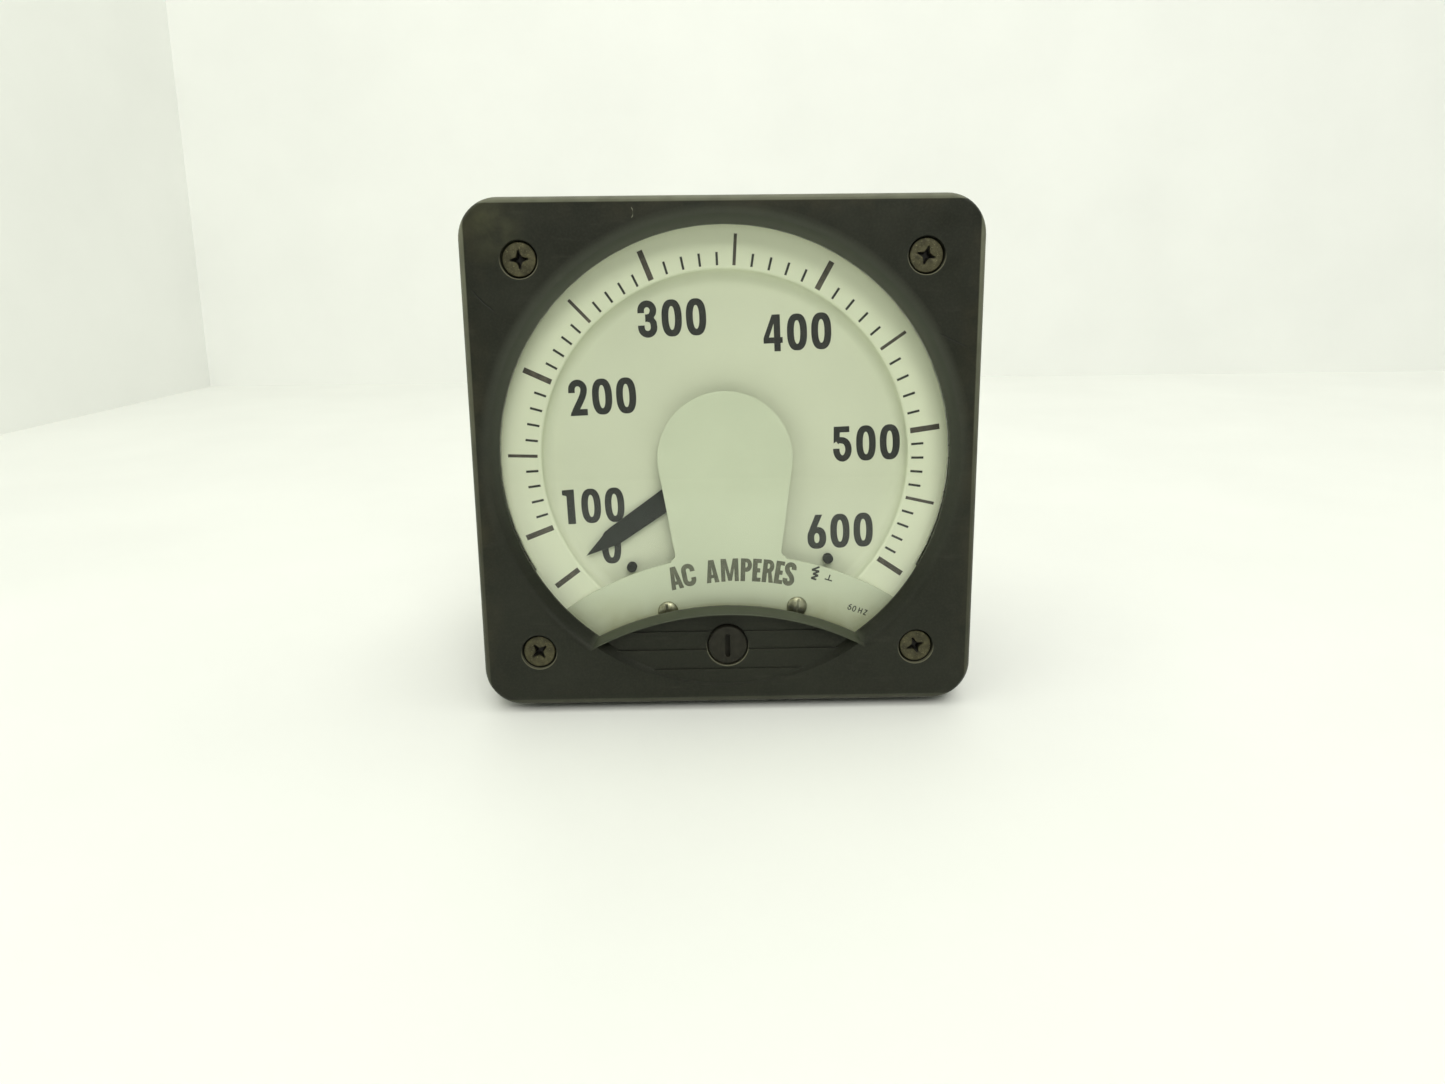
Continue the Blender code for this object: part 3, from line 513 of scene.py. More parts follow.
def moulded_cover():
    """Charcoal moulding, mottled, worn browner along its lower rim and partly worn lighter on its edges, with a
    few old scratches. A painted highlight on the front edge grows towards the top, and painted light lightens the
    slope round the window, the ledge and the lower rims of the holes.
    """
    paint = Paint("moulded_cover", (0.03, 0.031, 0.027), 0.4)
    between, height = paint.between, paint.height
    paint.mottle(16, (0.0075, 0.0083, 0.0049), (0.0122, 0.0132, 0.0084))
    paint.coat((0.026, 0.026, 0.019), paint.patches(0.45, 3, 0.4, 0.75, 0, 0.35))
    sideways = paint.math("ABSOLUTE", paint.x)
    reach = paint.math("MAXIMUM", sideways, paint.math("ABSOLUTE", height))
    fore = between(paint.depth, 2.4, 1.2)
    rim = paint.product(between(reach, SIDE / 2 - 6.0, SIDE / 2), between(height, -54.0, -46.0))
    worn = paint.patches(7, 5, 0.42, 0.72, 0, 0.6, offset=3)
    paint.coat((0.040, 0.034, 0.018), rim, fore, worn)
    dust = between(paint.noise(2.6, 8, stretch=(3, 1, 0.6), offset=9), 0.60, 0.80, 0, 0.25)
    paint.coat((0.040, 0.040, 0.030), dust)
    # Painted light: the slope round the window is made lighter, more so towards the top, standing in for the
    # reflection of the bright dial and the light the slope catches.
    slope = between(paint.away((0, 0)), 54.0, 50.5, 0, 0.8)
    paint.coat((0.075, 0.081, 0.062), slope, between(height, -32.0, 30.0))
    soiled = between(paint.away((-49.0, 50.0)), 9.0, 2.0)
    paint.coat((0.050, 0.050, 0.026), soiled, paint.patches(4, 5, 0.35, 0.65, 0.2, 0.8, offset=12))
    # Painted highlight: the ledge band along the lower edge of the window is made lighter, as if lit from above,
    # fading out towards its ends.
    up = paint.away((0, SILL_ARC[1]))
    ledge = paint.product(between(up, 65.5, 65.7), between(up, 68.2, 67.6))
    paint.coat((0.060, 0.067, 0.043), ledge, between(sideways, 31.5, 29.0, 0, 0.8))
    # The rounded front edge is made lighter: partly real wear, in patches, and partly a painted highlight that
    # grows stronger towards the top.
    edge = between(reach, SIDE / 2 - 1.45, SIDE / 2 - 1.2)
    rub = paint.patches(5, 6, 0.3, 0.6, 0.7, 0.95, offset=1)
    paint.coat((0.16, 0.165, 0.115), edge, fore, between(height, -20.0, 54.0, 0.25, 0.9), rub)
    # Painted highlight: the lower half of the rim round the adjuster hole and round each screw hole is made
    # lighter, as if catching light from above.
    hole = ADJUSTER_HOLE_RADIUS
    lit_lower_rims = lower_rim(paint, (0, ADJUSTER_HEIGHT), hole - 0.1, hole + 0.22)
    for corner in SCREWS:
        at = centre_of("cover_screw_" + corner)
        lit_lower_rims = paint.math("MAXIMUM", lit_lower_rims, lower_rim(paint, at, 3.9, 4.15))
    paint.coat((0.17, 0.165, 0.11), lit_lower_rims, 0.7)
    long_scratch = scratch(paint, (-53.3, 37.2), (-50.8, 34.3), (-48.2, 32.2), 0.26)
    short_scratch = scratch(paint, (45.9, 26.8), (49.4, 25.1), (52.2, 23.8), 0.22)
    scratches = paint.math("MAXIMUM", long_scratch, short_scratch)
    paint.coat((0.004, 0.004, 0.003), scratches)
    nick = scratch(paint, (-19.05, 50.95), (-18.8, 51.25), (-18.65, 51.6), 0.15)
    paint.coat((0.22, 0.22, 0.16), nick, 0.6)
    paint.set("Specular IOR Level", 0.28)
    paint.set("Specular Tint", (0.97, 1.0, 0.88, 1))
    paint.finished((4.5, 6, 5, 0.34, 0.50), (0.5, 4, 0.010), (9, 3, 0.05))
    paint.bump(paint.math("SUBTRACT", 1.0, scratches), 0.04)
    return paint.material


def moulded_case():
    """Black moulding of the case, with the faint orange peel of its tool."""
    paint = Paint("moulded_case", (0.02, 0.02, 0.02), 0.45)
    paint.mottle(22, (0.014, 0.014, 0.0135), (0.023, 0.0225, 0.021))
    paint.coat((0.06, 0.058, 0.05), paint.patches(3.5, 8, 0.58, 0.80, 0, 0.25, offset=4))
    return paint.finished((5, 5, 2, 0.36, 0.55), (0.7, 3, 0.012), (12, 2, 0.08))


def adjuster_plastic():
    """The adjuster's own duller, browner moulding."""
    paint = Paint("adjuster_plastic", (0.045, 0.042, 0.030), 0.6)
    clouds = paint.patches(1.6, 6, 0.35, 0.7)
    paint.base = paint.mix(clouds, (0.012, 0.0115, 0.0065), (0.022, 0.021, 0.013))
    paint.set("Specular IOR Level", 0.25)
    return paint.finished((0.8, 4, 0, 0.5, 0.7), (0.35, 4, 0.02))


def window_clear():
    """Plain glass: what is behind it shows through, with a reflection that grows as the view grazes it."""
    material = bpy.data.materials.new("window_clear")
    material.use_nodes = True
    tree = material.node_tree
    tree.nodes.remove(tree.nodes["Principled BSDF"])
    clear = add_node(tree, "ShaderNodeBsdfTransparent", {"Color": (0.985, 0.995, 0.975, 1)})
    shine = {"Color": (0.95, 1.0, 0.95, 1), "Roughness": 0.02}
    gloss = add_node(tree, "ShaderNodeBsdfGlossy", shine)
    facing = add_node(tree, "ShaderNodeLayerWeight").outputs["Facing"]
    rise = add_node(tree, "ShaderNodeMath", {0: facing, 1: 5.0}, operation="POWER")
    line = {0: rise.outputs["Value"], 1: 0.6, 2: 0.02}
    share = add_node(tree, "ShaderNodeMath", line, operation="MULTIPLY_ADD")
    layers = {"Fac": share.outputs["Value"], 1: clear.outputs["BSDF"], 2: gloss.outputs["BSDF"]}
    mixed = add_node(tree, "ShaderNodeMixShader", layers)
    feed(tree.nodes["Material Output"].inputs["Surface"], mixed.outputs["Shader"])
    return material


def dial_paint():
    """Matt off-white paint on sheet metal, a little uneven and aged, with painted light that makes the raised ring
    and its fold lighter, most of all towards the rim.
    """
    high = (0.65, 0.67, 0.537)
    paint = Paint("dial_paint", high, 0.6)
    paint.mottle(26, (0.615, 0.635, 0.508), high, 5)
    rare = paint.between(paint.noise(17, 1, offset=8), 0.58, 0.62)
    paint.coat((0.30, 0.30, 0.22), paint.specks(6.5, 0.055), rare)
    # Painted light: the raised ring and the fold down into the recess are made lighter, more so towards the rim,
    # against the shade of the bezel and of the crease.
    painted_light_outward = paint.between(paint.away((0, AXIS_DROP)), 42.0, 50.0)
    ring = paint.mix(painted_light_outward, (0.715, 0.74, 0.585), (0.88, 0.90, 0.72))
    paint.coat(ring, paint.between(paint.depth, 12.2, 9.6, 0, 0.9))
    return paint.finished((3, 4, 0, 0.52, 0.68), (0.35, 3, 0.004))


def plate_paint():
    """The same paint as the dial's, a shade darker and greener, with brown grime along its foot."""
    paint = Paint("plate_paint", (0.61, 0.645, 0.50), 0.6)
    paint.mottle(26, (0.545, 0.58, 0.45), (0.585, 0.62, 0.485), 5)
    low = paint.between(paint.height, -31.0, -38.0)
    paint.coat((0.40, 0.40, 0.235), low, paint.patches(5, 5, 0.3, 0.7, 0.3, 0.8, offset=7))
    foot = paint.between(paint.away((0, SILL_ARC[1])), 66.6, 65.2)
    paint.coat((0.26, 0.23, 0.12), foot, paint.patches(3, 5, 0.3, 0.6, 0.2, 0.8, offset=11))
    return paint.finished((3, 4, 0, 0.50, 0.66), (0.35, 3, 0.004))


def printed_ink(name, dark, light):
    """Thin printing ink, patchy where the paint shows through it."""
    paint = Paint(name, dark, 0.55)
    paint.coat(light, paint.patches(1.7, 5, 0.42, 0.72))
    return paint.finished((0.6, 3, 0, 0.45, 0.65))


def aged_metal(name, dark, light, rough, grain, relief, metallic=1.0, flecks=None, dirt=None):
    """Metal mottled between two colours, with fine grain in its gloss and surface.

    Flecks is the colour of its small bright spots. Dirt fills it below a depth, given as a range.
    """
    paint = Paint(name, light, sum(rough) / 2, metallic)
    paint.mottle(grain * 4, dark, light)
    if flecks:
        paint.coat(flecks, paint.patches(grain * 0.8, 6, 0.60, 0.74, offset=6))
    if dirt:
        paint.coat((0.012, 0.011, 0.008), paint.between(paint.depth, *dirt))
    return paint.finished((grain, 5, 2, *rough), (grain, 5, relief))


def flat_black(name, colour, rough):
    paint = Paint(name, colour, sum(rough) / 2)
    lighter = tuple(c * 2.1 for c in colour)
    paint.coat(lighter, paint.patches(2.4, 6, 0.45, 0.8))
    paint.set("Specular IOR Level", 0.2)
    return paint.finished((0.9, 4, 0, *rough), (0.3, 3, 0.006))


def wound_wire():
    """Enamelled wire wound round the spindle's axis, one turn beside the next."""
    paint = Paint("wound_wire", (0.5, 0.2, 0.08), 0.35, 0.8)
    along = paint.math("ADD", paint.depth, FRONT / MM)
    paint.base = paint.mix(paint.noise(3, 4), (0.42, 0.15, 0.06), (0.60, 0.26, 0.11))
    paint.bump(paint.math("SINE", paint.product(along, 2 * math.pi / 0.55)), 0.12)
    return paint.finished()


def laminate():
    """Brown resin board, its fibres along the height."""
    paint = Paint("laminate", (0.30, 0.18, 0.09), 0.5)
    grain = paint.noise(0.8, 5, stretch=(6, 6, 1))
    paint.base = paint.mix(grain, (0.20, 0.11, 0.055), (0.38, 0.24, 0.13))
    paint.bump(grain, 0.02)
    return paint.finished()


# Darkest and lightest colour, roughness from and to, size of the grain and depth of its relief. Where
# they differ from plain metal: how metallic, colour of the flecks, depths at which dirt starts and fills.
METALS = {
    "zinc_steel": ((0.42, 0.42, 0.38), (0.66, 0.66, 0.62), (0.24, 0.42), 0.6, 0.006),
    "nickel": ((0.22, 0.21, 0.13), (0.46, 0.45, 0.33), (0.32, 0.48), 0.4, 0.008),
    "brass": ((0.42, 0.27, 0.09), (0.80, 0.58, 0.25), (0.20, 0.40), 0.7, 0.006),
    "aluminium": ((0.60, 0.61, 0.62), (0.78, 0.79, 0.80), (0.28, 0.46), 0.5, 0.006),
    "soft_iron": ((0.18, 0.17, 0.16), (0.36, 0.36, 0.36), (0.40, 0.6), 0.6, 0.01),
    "spring_bronze": ((0.40, 0.22, 0.08), (0.62, 0.38, 0.16), (0.2, 0.35), 0.4, 0.004),
    "magnet_iron": ((0.05, 0.05, 0.055), (0.12, 0.12, 0.13), (0.45, 0.65), 0.5, 0.012, 0.4),
    "bronzed_steel": (
        (0.038, 0.035, 0.016), (0.082, 0.075, 0.036), (0.40, 0.60), 0.35, 0.02,
        0.5, (0.18, 0.165, 0.085), (0.6, 1.1),
    ),
}
BLACKS = {
    "seal_rubber": ((0.018, 0.018, 0.018), (0.75, 0.9)),
    "black_paint": ((0.007, 0.008, 0.007), (0.75, 0.9)),
    "blackened_aluminium": ((0.008, 0.009, 0.008), (0.55, 0.75)),
}
MATERIALS = {
    "cover_plastic": moulded_cover(),
    "case_plastic": moulded_case(),
    "adjuster_plastic": adjuster_plastic(),
    "clear_glass": window_clear(),
    "dial_paint": dial_paint(),
    "copper_wire": wound_wire(),
    "bobbin_plastic": laminate(),
    **{name: aged_metal(name, *look) for name, look in METALS.items()},
    **{name: flat_black(name, *look) for name, look in BLACKS.items()},
}
PLATE_PAINT = plate_paint()
SCALE_INK = printed_ink("scale_ink", (0.052, 0.042, 0.032), (0.100, 0.084, 0.062))
SHORT_INK = printed_ink("short_ink", (0.010, 0.011, 0.009), (0.026, 0.026, 0.020))
NUMBER_INK = printed_ink("number_ink", (0.003, 0.004, 0.004), (0.013, 0.012, 0.010))
WORD_INK = printed_ink("word_ink", (0.082, 0.084, 0.054), (0.130, 0.132, 0.090))


# Front cover


def cover_block(back):
    """The square block, its front edge broken by a small round that starts with a crisp turn."""
    edge, first = 1.45, 22
    sections = []
    for i in range(9):
        angle = math.radians(first + (90 - first) * i / 8)
        inset = edge * (1 - math.sin(angle))
        depth = edge * (math.cos(math.radians(first)) - math.cos(angle))
        sections.append((depth, rounded_square(SIDE - 2 * inset, CORNER - inset)))
    sections.append((back - 0.3, rounded_square(SIDE, CORNER)))
    sections.append((back, rounded_square(SIDE - 0.6, CORNER - 0.3)))
    return lofted(sections)


def funnel_profile():
    """(depth, radius) down the slope round the window: rolled over at the face, then a straight cone."""
    run = FUNNEL_RADIUS - WINDOW_RADIUS
    slope = math.atan2(WINDOW_DEPTH, run)
    roll = 2.4
    start = FUNNEL_RADIUS + roll * math.tan(slope / 2)
    profile = [(-0.5, start)]
    for i in range(8):
        angle = slope * i / 7
        profile.append((roll * (1 - math.cos(angle)), start - roll * math.sin(angle)))
    lip = 0.35
    for i in range(5):
        angle = slope + (math.pi / 2 - slope) * i / 4
        depth = WINDOW_DEPTH + lip * (math.cos(slope) - math.cos(angle))
        profile.append((depth, WINDOW_RADIUS + lip * (1 - math.sin(angle))))
    profile.append((9.0, WINDOW_RADIUS))
    return profile


def window_opening():
    """Cutter for the window: the funnel round it, and the ledge that slopes in along its lower edge."""
    sections = []
    crest = 0.12
    for depth, radius in funnel_profile():
        share = min(max(depth / WINDOW_DEPTH, 0), 1)
        arc_radius = LENS_ARC[0] + (SILL_ARC[0] - LENS_ARC[0]) * share
        arc_centre = LENS_ARC[1] + (SILL_ARC[1] - LENS_ARC[1]) * share
        rolled_over = crest * (1 - min(max(depth, 0) / crest, 1)) ** 2
        sections.append((depth, circle_above_arc(radius, arc_radius + 0.15 - rolled_over, arc_centre)))
    return lofted(sections)


def stepped_panel():
    """Cutter for the hollow under the window: overlapping boards that run out into the face."""
    profile = [(BOARD_EDGES[0], -1.0)]
    for top, bottom, levels in zip(BOARD_EDGES, BOARD_EDGES[1:], BOARD_DEPTHS):
        profile += [(top, levels[0]), (bottom, levels[1])]
    profile.append((BOARD_EDGES[-1], -1.0))
    half = 40.0
    count = len(profile)
    vertices = [(x, y, -depth) for x in (-half, half) for y, depth in profile]
    faces = [tuple(range(count)), tuple(range(count, 2 * count))]
    for i in range(count):
        j = (i + 1) % count
        faces.append((i, j, j + count, i + count))
    steps = settle(mesh_from("steps", vertices, (), faces))
    sections = []
    for depth, inset in ((-0.6, -0.5), (0.0, 0.0), (0.8, 0.5), (2.4, 1.9), (6.0, 5.0)):
        outline = circle_below_arc(LENS_RADIUS - inset, LENS_ARC[0] - 0.15, LENS_ARC[1])
        sections.append((depth, outline))
    return shared(steps, lofted(sections))


def front_cover():
    back = span("front_cover")[1]
    outline = circle_above_arc(POCKET_RADIUS, SILL_ARC[0] - 1.7, SILL_ARC[1])
    pocket = extruded([outline], GLASS_SEAT, back + 1)
    cavity = turned(stepped(LOWER_WALL_BACK, (POCKET_RADIUS, back + 1)), 128)
    hole = turned(stepped(-1, (ADJUSTER_HOLE_RADIUS, 4.2), (2.8, 9)), 72)
    holes = [moved(hole, 0, ADJUSTER_HEIGHT)]
    bore = SHANK_RADIUS + 0.3
    sink = [(0, -1), (COUNTERSINK_RADIUS, -1), (COUNTERSINK_RADIUS, 0.9)]
    sink += [(bore, 3.1), (bore, back + 1), (0, back + 1)]
    for corner in SCREWS:
        holes.append(moved(turned(sink, 64), *centre_of("cover_screw_" + corner)))
    shape = cut(cover_block(back), window_opening(), pocket, cavity, stepped_panel(), *holes)
    add(softened(shape, 0.16, 3), "bezel", FACE, "cover_plastic", "front_cover")


def glass():
    outline = circle_above_arc(52.7, SILL_ARC[0] - 1.4, SILL_ARC[1])
    pane = softened(extruded([outline], *span("window_glass")), 0.15, 1)
    add(pane, "glass_pane", FACE, "clear_glass", "window_glass")


def cross_outline(reach, tip, waist):
    """Outline of a cross recess, whose wings widen from their tips to its hollow middle."""
    shoulder = (reach + waist) / 2, (tip + waist) / 2 * 0.8
    quarter = [(reach, tip), shoulder, (waist, waist), shoulder[::-1], (tip, reach)]
    return [point for turn in range(4) for point in spun(quarter, 90 * turn)]


def cover_screw(corner, turn):
    """Countersunk screw with a cross recess that stands at its own angle."""
    node = "cover_screw_" + corner
    top, tip = span(node)
    head = [(0, top), (3.38, top + 0.02), (3.52, top + 0.14), (3.55, top + 0.3)]
    shank = [(SHANK_RADIUS, 2.9), (SHANK_RADIUS, tip - 0.3), (SHANK_RADIUS - 0.4, tip), (0, tip)]
    crosses = ((-0.5, 2.15, 0.26, 0.70), (0, 2.05, 0.22, 0.64), (1.7, 0.95, 0.16, 0.34))
    recess = lofted([(top + depth, cross_outline(*sizes)) for depth, *sizes in crosses])
    shape = softened(cut(turned(head + shank, 64), recess), 0.07, 2)
    add(shape, "countersunk_screw_" + corner, at_node(node, turn), "bronzed_steel", node)


def adjuster_head():
    """Slotted head with a neck that snaps in behind the cover, and the pin that turns the zero lever."""
    node = "zero_adjuster"
    head = [(0, 1.3), (2.6, 1.33), (4.1, 1.42), (4.38, 1.65), (4.4, 3.9)]
    neck = [(2.5, 3.9), (2.5, 7.4), (4.0, 7.4), (4.0, 8.8), (0, 8.8)]
    pin = moved(turned(stepped(8.0, (0.8, span(node)[1])), 24), 0, 3.0)
    slot = [*arc((0, 2.2), 0.58, 0, 180, 8), *arc((0, -2.2), 0.58, 180, 360, 8)]
    shape = cut(joined(turned(head + neck, 72), pin), extruded([slot], 0, 2.9))
    add(softened(shape, 0.1, 2), "slotted_adjuster", ADJUSTER, "adjuster_plastic", node, body=node)


# Dial

RECESS_RADIUS = 41.8
FOLD_TOP = 0.7
FOLD_FOOT = 2.6
DIAL_RADIUS = 52.5
DIAL_SHEET = 0.8
INK = 0.02
INK_ROOT = 0.03


def dial():
    """Sheet dial: the raised ring, the fold down into the recess and its flat floor."""
    ring, back = span("dial_plate")
    floor = back - DIAL_SHEET
    over = arc((RECESS_RADIUS + FOLD_TOP, ring + FOLD_TOP), FOLD_TOP, 180, 270, 6)
    foot = arc((RECESS_RADIUS - FOLD_FOOT, floor - FOLD_FOOT), FOLD_FOOT, 90, 0, 10)
    step, under = RECESS_RADIUS + DIAL_SHEET, ring + DIAL_SHEET
    rim = [(DIAL_RADIUS, ring), (DIAL_RADIUS, under), (step, under), (step, back)]
    shape = turned([*over, *rim, (10.5, back), (10.5, floor), *foot], 180, ring=True)
    for_pointer = block((-9.0, -22.5, 8), (9.0, -6.0, 15))
    for_lever = block((-6.5, -60.0, 8), (6.5, -36.6, 15))
    add(cut(shape, for_pointer, for_lever), "dial_face", DIAL, "dial_paint", "dial_plate")


PLATE_EDGE = DIAL_RADIUS - 1.0
HEAD_RADIUS = 15.4
FOOT = (12.3, -23.0)
CRESCENT_RADIUS = 70.0
CRESCENT_TOP = -22.3
CRESCENT_WIDTH = 14.9


def plate_outline():
    """Round-headed middle on a crescent-shaped foot that reaches across the bottom of the dial."""
    top_centre = CRESCENT_TOP - CRESCENT_RADIUS
    low_centre = top_centre - CRESCENT_WIDTH
    corner, rise = meeting(PLATE_EDGE, CRESCENT_RADIUS, top_centre)
    low_corner, low_rise = meeting(PLATE_EDGE, CRESCENT_RADIUS, low_centre)
    foot = math.degrees(math.acos((FOOT[0] + 1.2) / CRESCENT_RADIUS))
    right_rim = arc((0, 0), PLATE_EDGE, low_corner, corner, 16)
    right_top = arc((0, top_centre), CRESCENT_RADIUS, rise, foot, 24)
    fillet = arc((FOOT[0] + 1.3, FOOT[1] + 1.3), 1.3, 250, 180, 8)
    half = right_rim + right_top[1:] + fillet
    head = arc((0, 0), HEAD_RADIUS, -12, 192, 90)
    left = [(-x, y) for x, y in reversed(half)]
    under = arc((0, low_centre), CRESCENT_RADIUS, 180 - low_rise, low_rise, 48)
    return half + head + left + under[1:-1]


def cover_plate():
    shape = softened(extruded([plate_outline()], *span("dial_cover_plate")), 0.1, 2)
    add(shape, "centre_plate", DIAL, "dial_paint", "dial_cover_plate", material=PLATE_PAINT)


def dial_screw(hand, side):
    """Dome-headed screw, its slot nearly upright."""
    node = "dial_screw_" + hand
    top, back = span(node)
    head_back = span("dial_cover_plate")[0] - 0.1
    height = head_back - top
    angles = [math.radians(90 * i / 10) for i in range(11)]
    dome = [(2.4 * math.sin(a), head_back - height * math.cos(a)) for a in angles]
    shape = turned([*dome, (1.0, head_back), (1.0, back), (0, back)], 56)
    slot = block((-3, -0.3, top - 1), (3, 0.3, top + 0.42))
    shape = softened(cut(shape, slot), 0.05, 2)
    add(shape, "dome_screw_" + hand, at_node(node, 90 - 12 * side), "nickel", node)


def stop_pin(hand):
    node = "stop_pin_" + hand
    top, back = span(node)
    profile = [(0, top), *arc((0.92, top + 0.25), 0.25, 270, 360, 5), (1.17, back), (0, back)]
    add(turned(profile, 40), "stop_peg_" + hand, at_node(node), "black_paint", node)


# Reading of the scale to its angle clockwise from the top: the movement's own calibration.
CALIBRATION = (
    (0, -125.0), (100, -109.6), (150, -87.0), (200, -64.0), (250, -42.5), (300, -20.4),
    (350, 4.6), (400, 30.4), (450, 56.8), (500, 83.3), (550, 104.0), (600, 125.0),
)
MARK_INNER = 42.7
SMALL_OUTER = 45.5
LONG_OUTER = 49.4


def scale_angle(value):
    for (low, start), (high, end) in zip(CALIBRATION, CALIBRATION[1:]):
        if value <= high:
            return start + (end - start) * (value - low) / (high - low)
    return CALIBRATION[-1][1]


def scale_bar(value):
    """Outline of one graduation: wide for the hundreds, narrower for the fifties, short for the tens."""
    if value % 100 == 0:
        outer, width = LONG_OUTER, 1.25
    elif value % 50 == 0:
        outer, width = LONG_OUTER, 0.70
    else:
        outer, width = SMALL_OUTER, 0.52
    return spun(rectangle((MARK_INNER, -width / 2), (outer, width / 2)), 90 - scale_angle(value))


def scale_marks():
    """The graduations, the wide ones in a browner and paler ink than the short ones."""
    ring = span("dial_plate")[0]
    values = [0, *range(100, 601, 10)]
    long_ones = [scale_bar(value) for value in values if value % 50 == 0]
    short_ones = [scale_bar(value) for value in values if value % 50]
    for name, bars, ink in (("long", long_ones, SCALE_INK), ("short", short_ones, SHORT_INK)):
        shape = extruded(bars, ring - INK, ring + INK_ROOT)
        add(shape, "scale_%s_marks" % name, DIAL, "dial_paint", material=ink)


# Numbers and letters, each as groups of outlines: a stroke or a filled shape with its holes. Heavy
# numbers are 8.15 mm high on a cell centred on the origin, words 5.3 mm, and small type 1.9 mm.

STROKE = 1.5
TOP = 4.08


def zero():
    return [[super_oval(2.28, TOP, 2.5), super_oval(0.72, 2.62, 2.2)]]


def one():
    return [[[(-0.9, -TOP), (0.9, -TOP), (0.9, TOP), (-1.85, 3.95), (-1.9, 2.85), (-0.9, 2.55)]]]


def two():
    line = [(-1.4, 1.1), (-1.4, 1.6), *oval_arc((0, 1.85), 1.4, 1.48, 180, 0)]
    line += [(1.3, 1.1), (0.95, 0.1), (0.25, -1.2), (-0.55, -2.6), (-0.95, -3.3)]
    foot = [(-2.0, -TOP), (2.0, -TOP), (2.0, -2.62), (-0.45, -2.62), (-1.75, -3.2)]
    return [[ribbon(line, STROKE)], [foot]]


def three():
    upper = [(-1.38, 1.35), (-1.38, 1.8), *oval_arc((0, 1.92), 1.38, 1.42, 180, 0)]
    upper += [(1.28, 1.3), (0.85, 0.6), (0.1, 0.32), (-0.45, 0.3)]
    lower = [(-0.45, 0.16), (0.1, 0.14), (0.9, -0.15), (1.36, -0.9)]
    lower += [*oval_arc((0, -1.85), 1.42, 1.5, 0, -180), (-1.42, -1.35)]
    return [[ribbon(upper, STROKE)], [ribbon(lower, STROKE)]]


def four():
    outer = [(-2.15, -2.25), (-2.15, -1.1), (-0.1, TOP), (1.7, TOP), (1.7, -0.95), (2.2, -0.95)]
    outer += [(2.2, -2.25), (1.7, -2.25), (1.7, -TOP), (0.25, -TOP), (0.25, -2.25)]
    return [[outer, [(0.25, -0.95), (-0.9, -0.95), (0.25, 2.05)]]]


def five():
    hook = [(-1.9, TOP), (1.7, TOP), (1.7, 2.72), (-0.5, 2.72), (-0.62, 1.2), (-2.02, 0.2)]
    bowl = [(-1.35, 0.62), (-0.75, 0.98), *oval_arc((0, -1.25), 1.42, 2.1, 80, -180)]
    return [[hook], [ribbon([*bowl, (-1.42, -1.0)], STROKE)]]


def six():
    bowl = super_oval(2.22, 2.62, 2.4, centre=(0, -1.46))
    hole = super_oval(0.62, 1.2, 2.2, centre=(0, -1.5))
    stem = [(-0.25, TOP), (1.4, TOP), (-0.1, 0.7), (-1.1, -0.1)]
    return [[bowl, hole], [[*stem, (-2.18, -1.4), (-2.05, -0.3), (-1.6, 0.9)]]]


LETTER_STROKE = 1.1
CAP = 2.65


def letter_a():
    outer = [(-1.45, -CAP), (-0.42, -CAP), (-0.3, -1.6), (0.3, -1.6), (0.42, -CAP), (1.45, -CAP)]
    return [[[*outer, (0.62, CAP), (-0.62, CAP)], [(-0.16, -0.8), (0.16, -0.8), (0, 0.95)]]]


def letter_c():
    side = 0.98
    upper = oval_arc((0, 1.12), side, 0.98, 0, 180)
    lower = oval_arc((0, -1.12), side, 0.98, 180, 360)
    return [[ribbon([(side, 0.7), *upper, *lower, (side, -0.7)], LETTER_STROKE)]]


def letter_e():
    half = [(0.98, CAP), (0.98, 1.7), (0.12, 1.7), (0.12, 0.5), (0.78, 0.5)]
    return [[[(-0.98, CAP), *half, *[(x, -y) for x, y in reversed(half)], (-0.98, -CAP)]]]


def letter_m():
    half = [(2.0, CAP), (2.0, -CAP), (1.05, -CAP), (1.05, 0.5), (0.42, -2.5)]
    return [[[(0, -0.9), (0.78, CAP), *half, *[(-x, y) for x, y in reversed(half)], (-0.78, CAP)]]]


BOWL_HOLE = [(-0.2, 0.55), *oval_arc((0.0, 1.15), 0.32, 0.6, -90, 90, 8), (-0.2, 1.75)]


def letter_p():
    bowl = oval_arc((0.1, 1.1), 1.2, 1.55, -90, 90)
    return [[[(-1.25, -CAP), (-0.2, -CAP), (-0.2, -0.45), *bowl, (-1.25, CAP)], BOWL_HOLE]]


def letter_r():
    bowl = oval_arc((0.1, 1.1), 1.2, 1.55, -55, 90)
    leg = [(-1.25, -CAP), (-0.2, -CAP), (-0.2, -0.45), (0.02, -0.45), (0.36, -CAP), (1.4, -CAP)]
    return [[[*leg, *bowl, (-1.25, CAP)], BOWL_HOLE]]


def letter_s():
    line = [(0.8, 1.1), *oval_arc((0, 1.42), 0.8, 0.8, 0, 180), (-0.72, 0.95), (-0.45, 0.45)]
    turned_line = [(-x, -y) for x, y in reversed(line)]
    return [[ribbon([*line, (0, 0), *turned_line], LETTER_STROKE)]]


# Each character's outlines, and the width it takes.
GLYPHS = {
    "0": (zero, 5.5), "1": (one, 3.9), "2": (two, 5.5), "3": (three, 5.5), "4": (four, 5.5),
    "5": (five, 5.5), "6": (six, 5.5), "A": (letter_a, 3.2), "C": (letter_c, 3.1),
    "E": (letter_e, 2.25), "M": (letter_m, 4.9), "P": (letter_p, 2.6), "R": (letter_r, 2.9),
    "S": (letter_s, 2.5), " ": (None, 2.2),
}


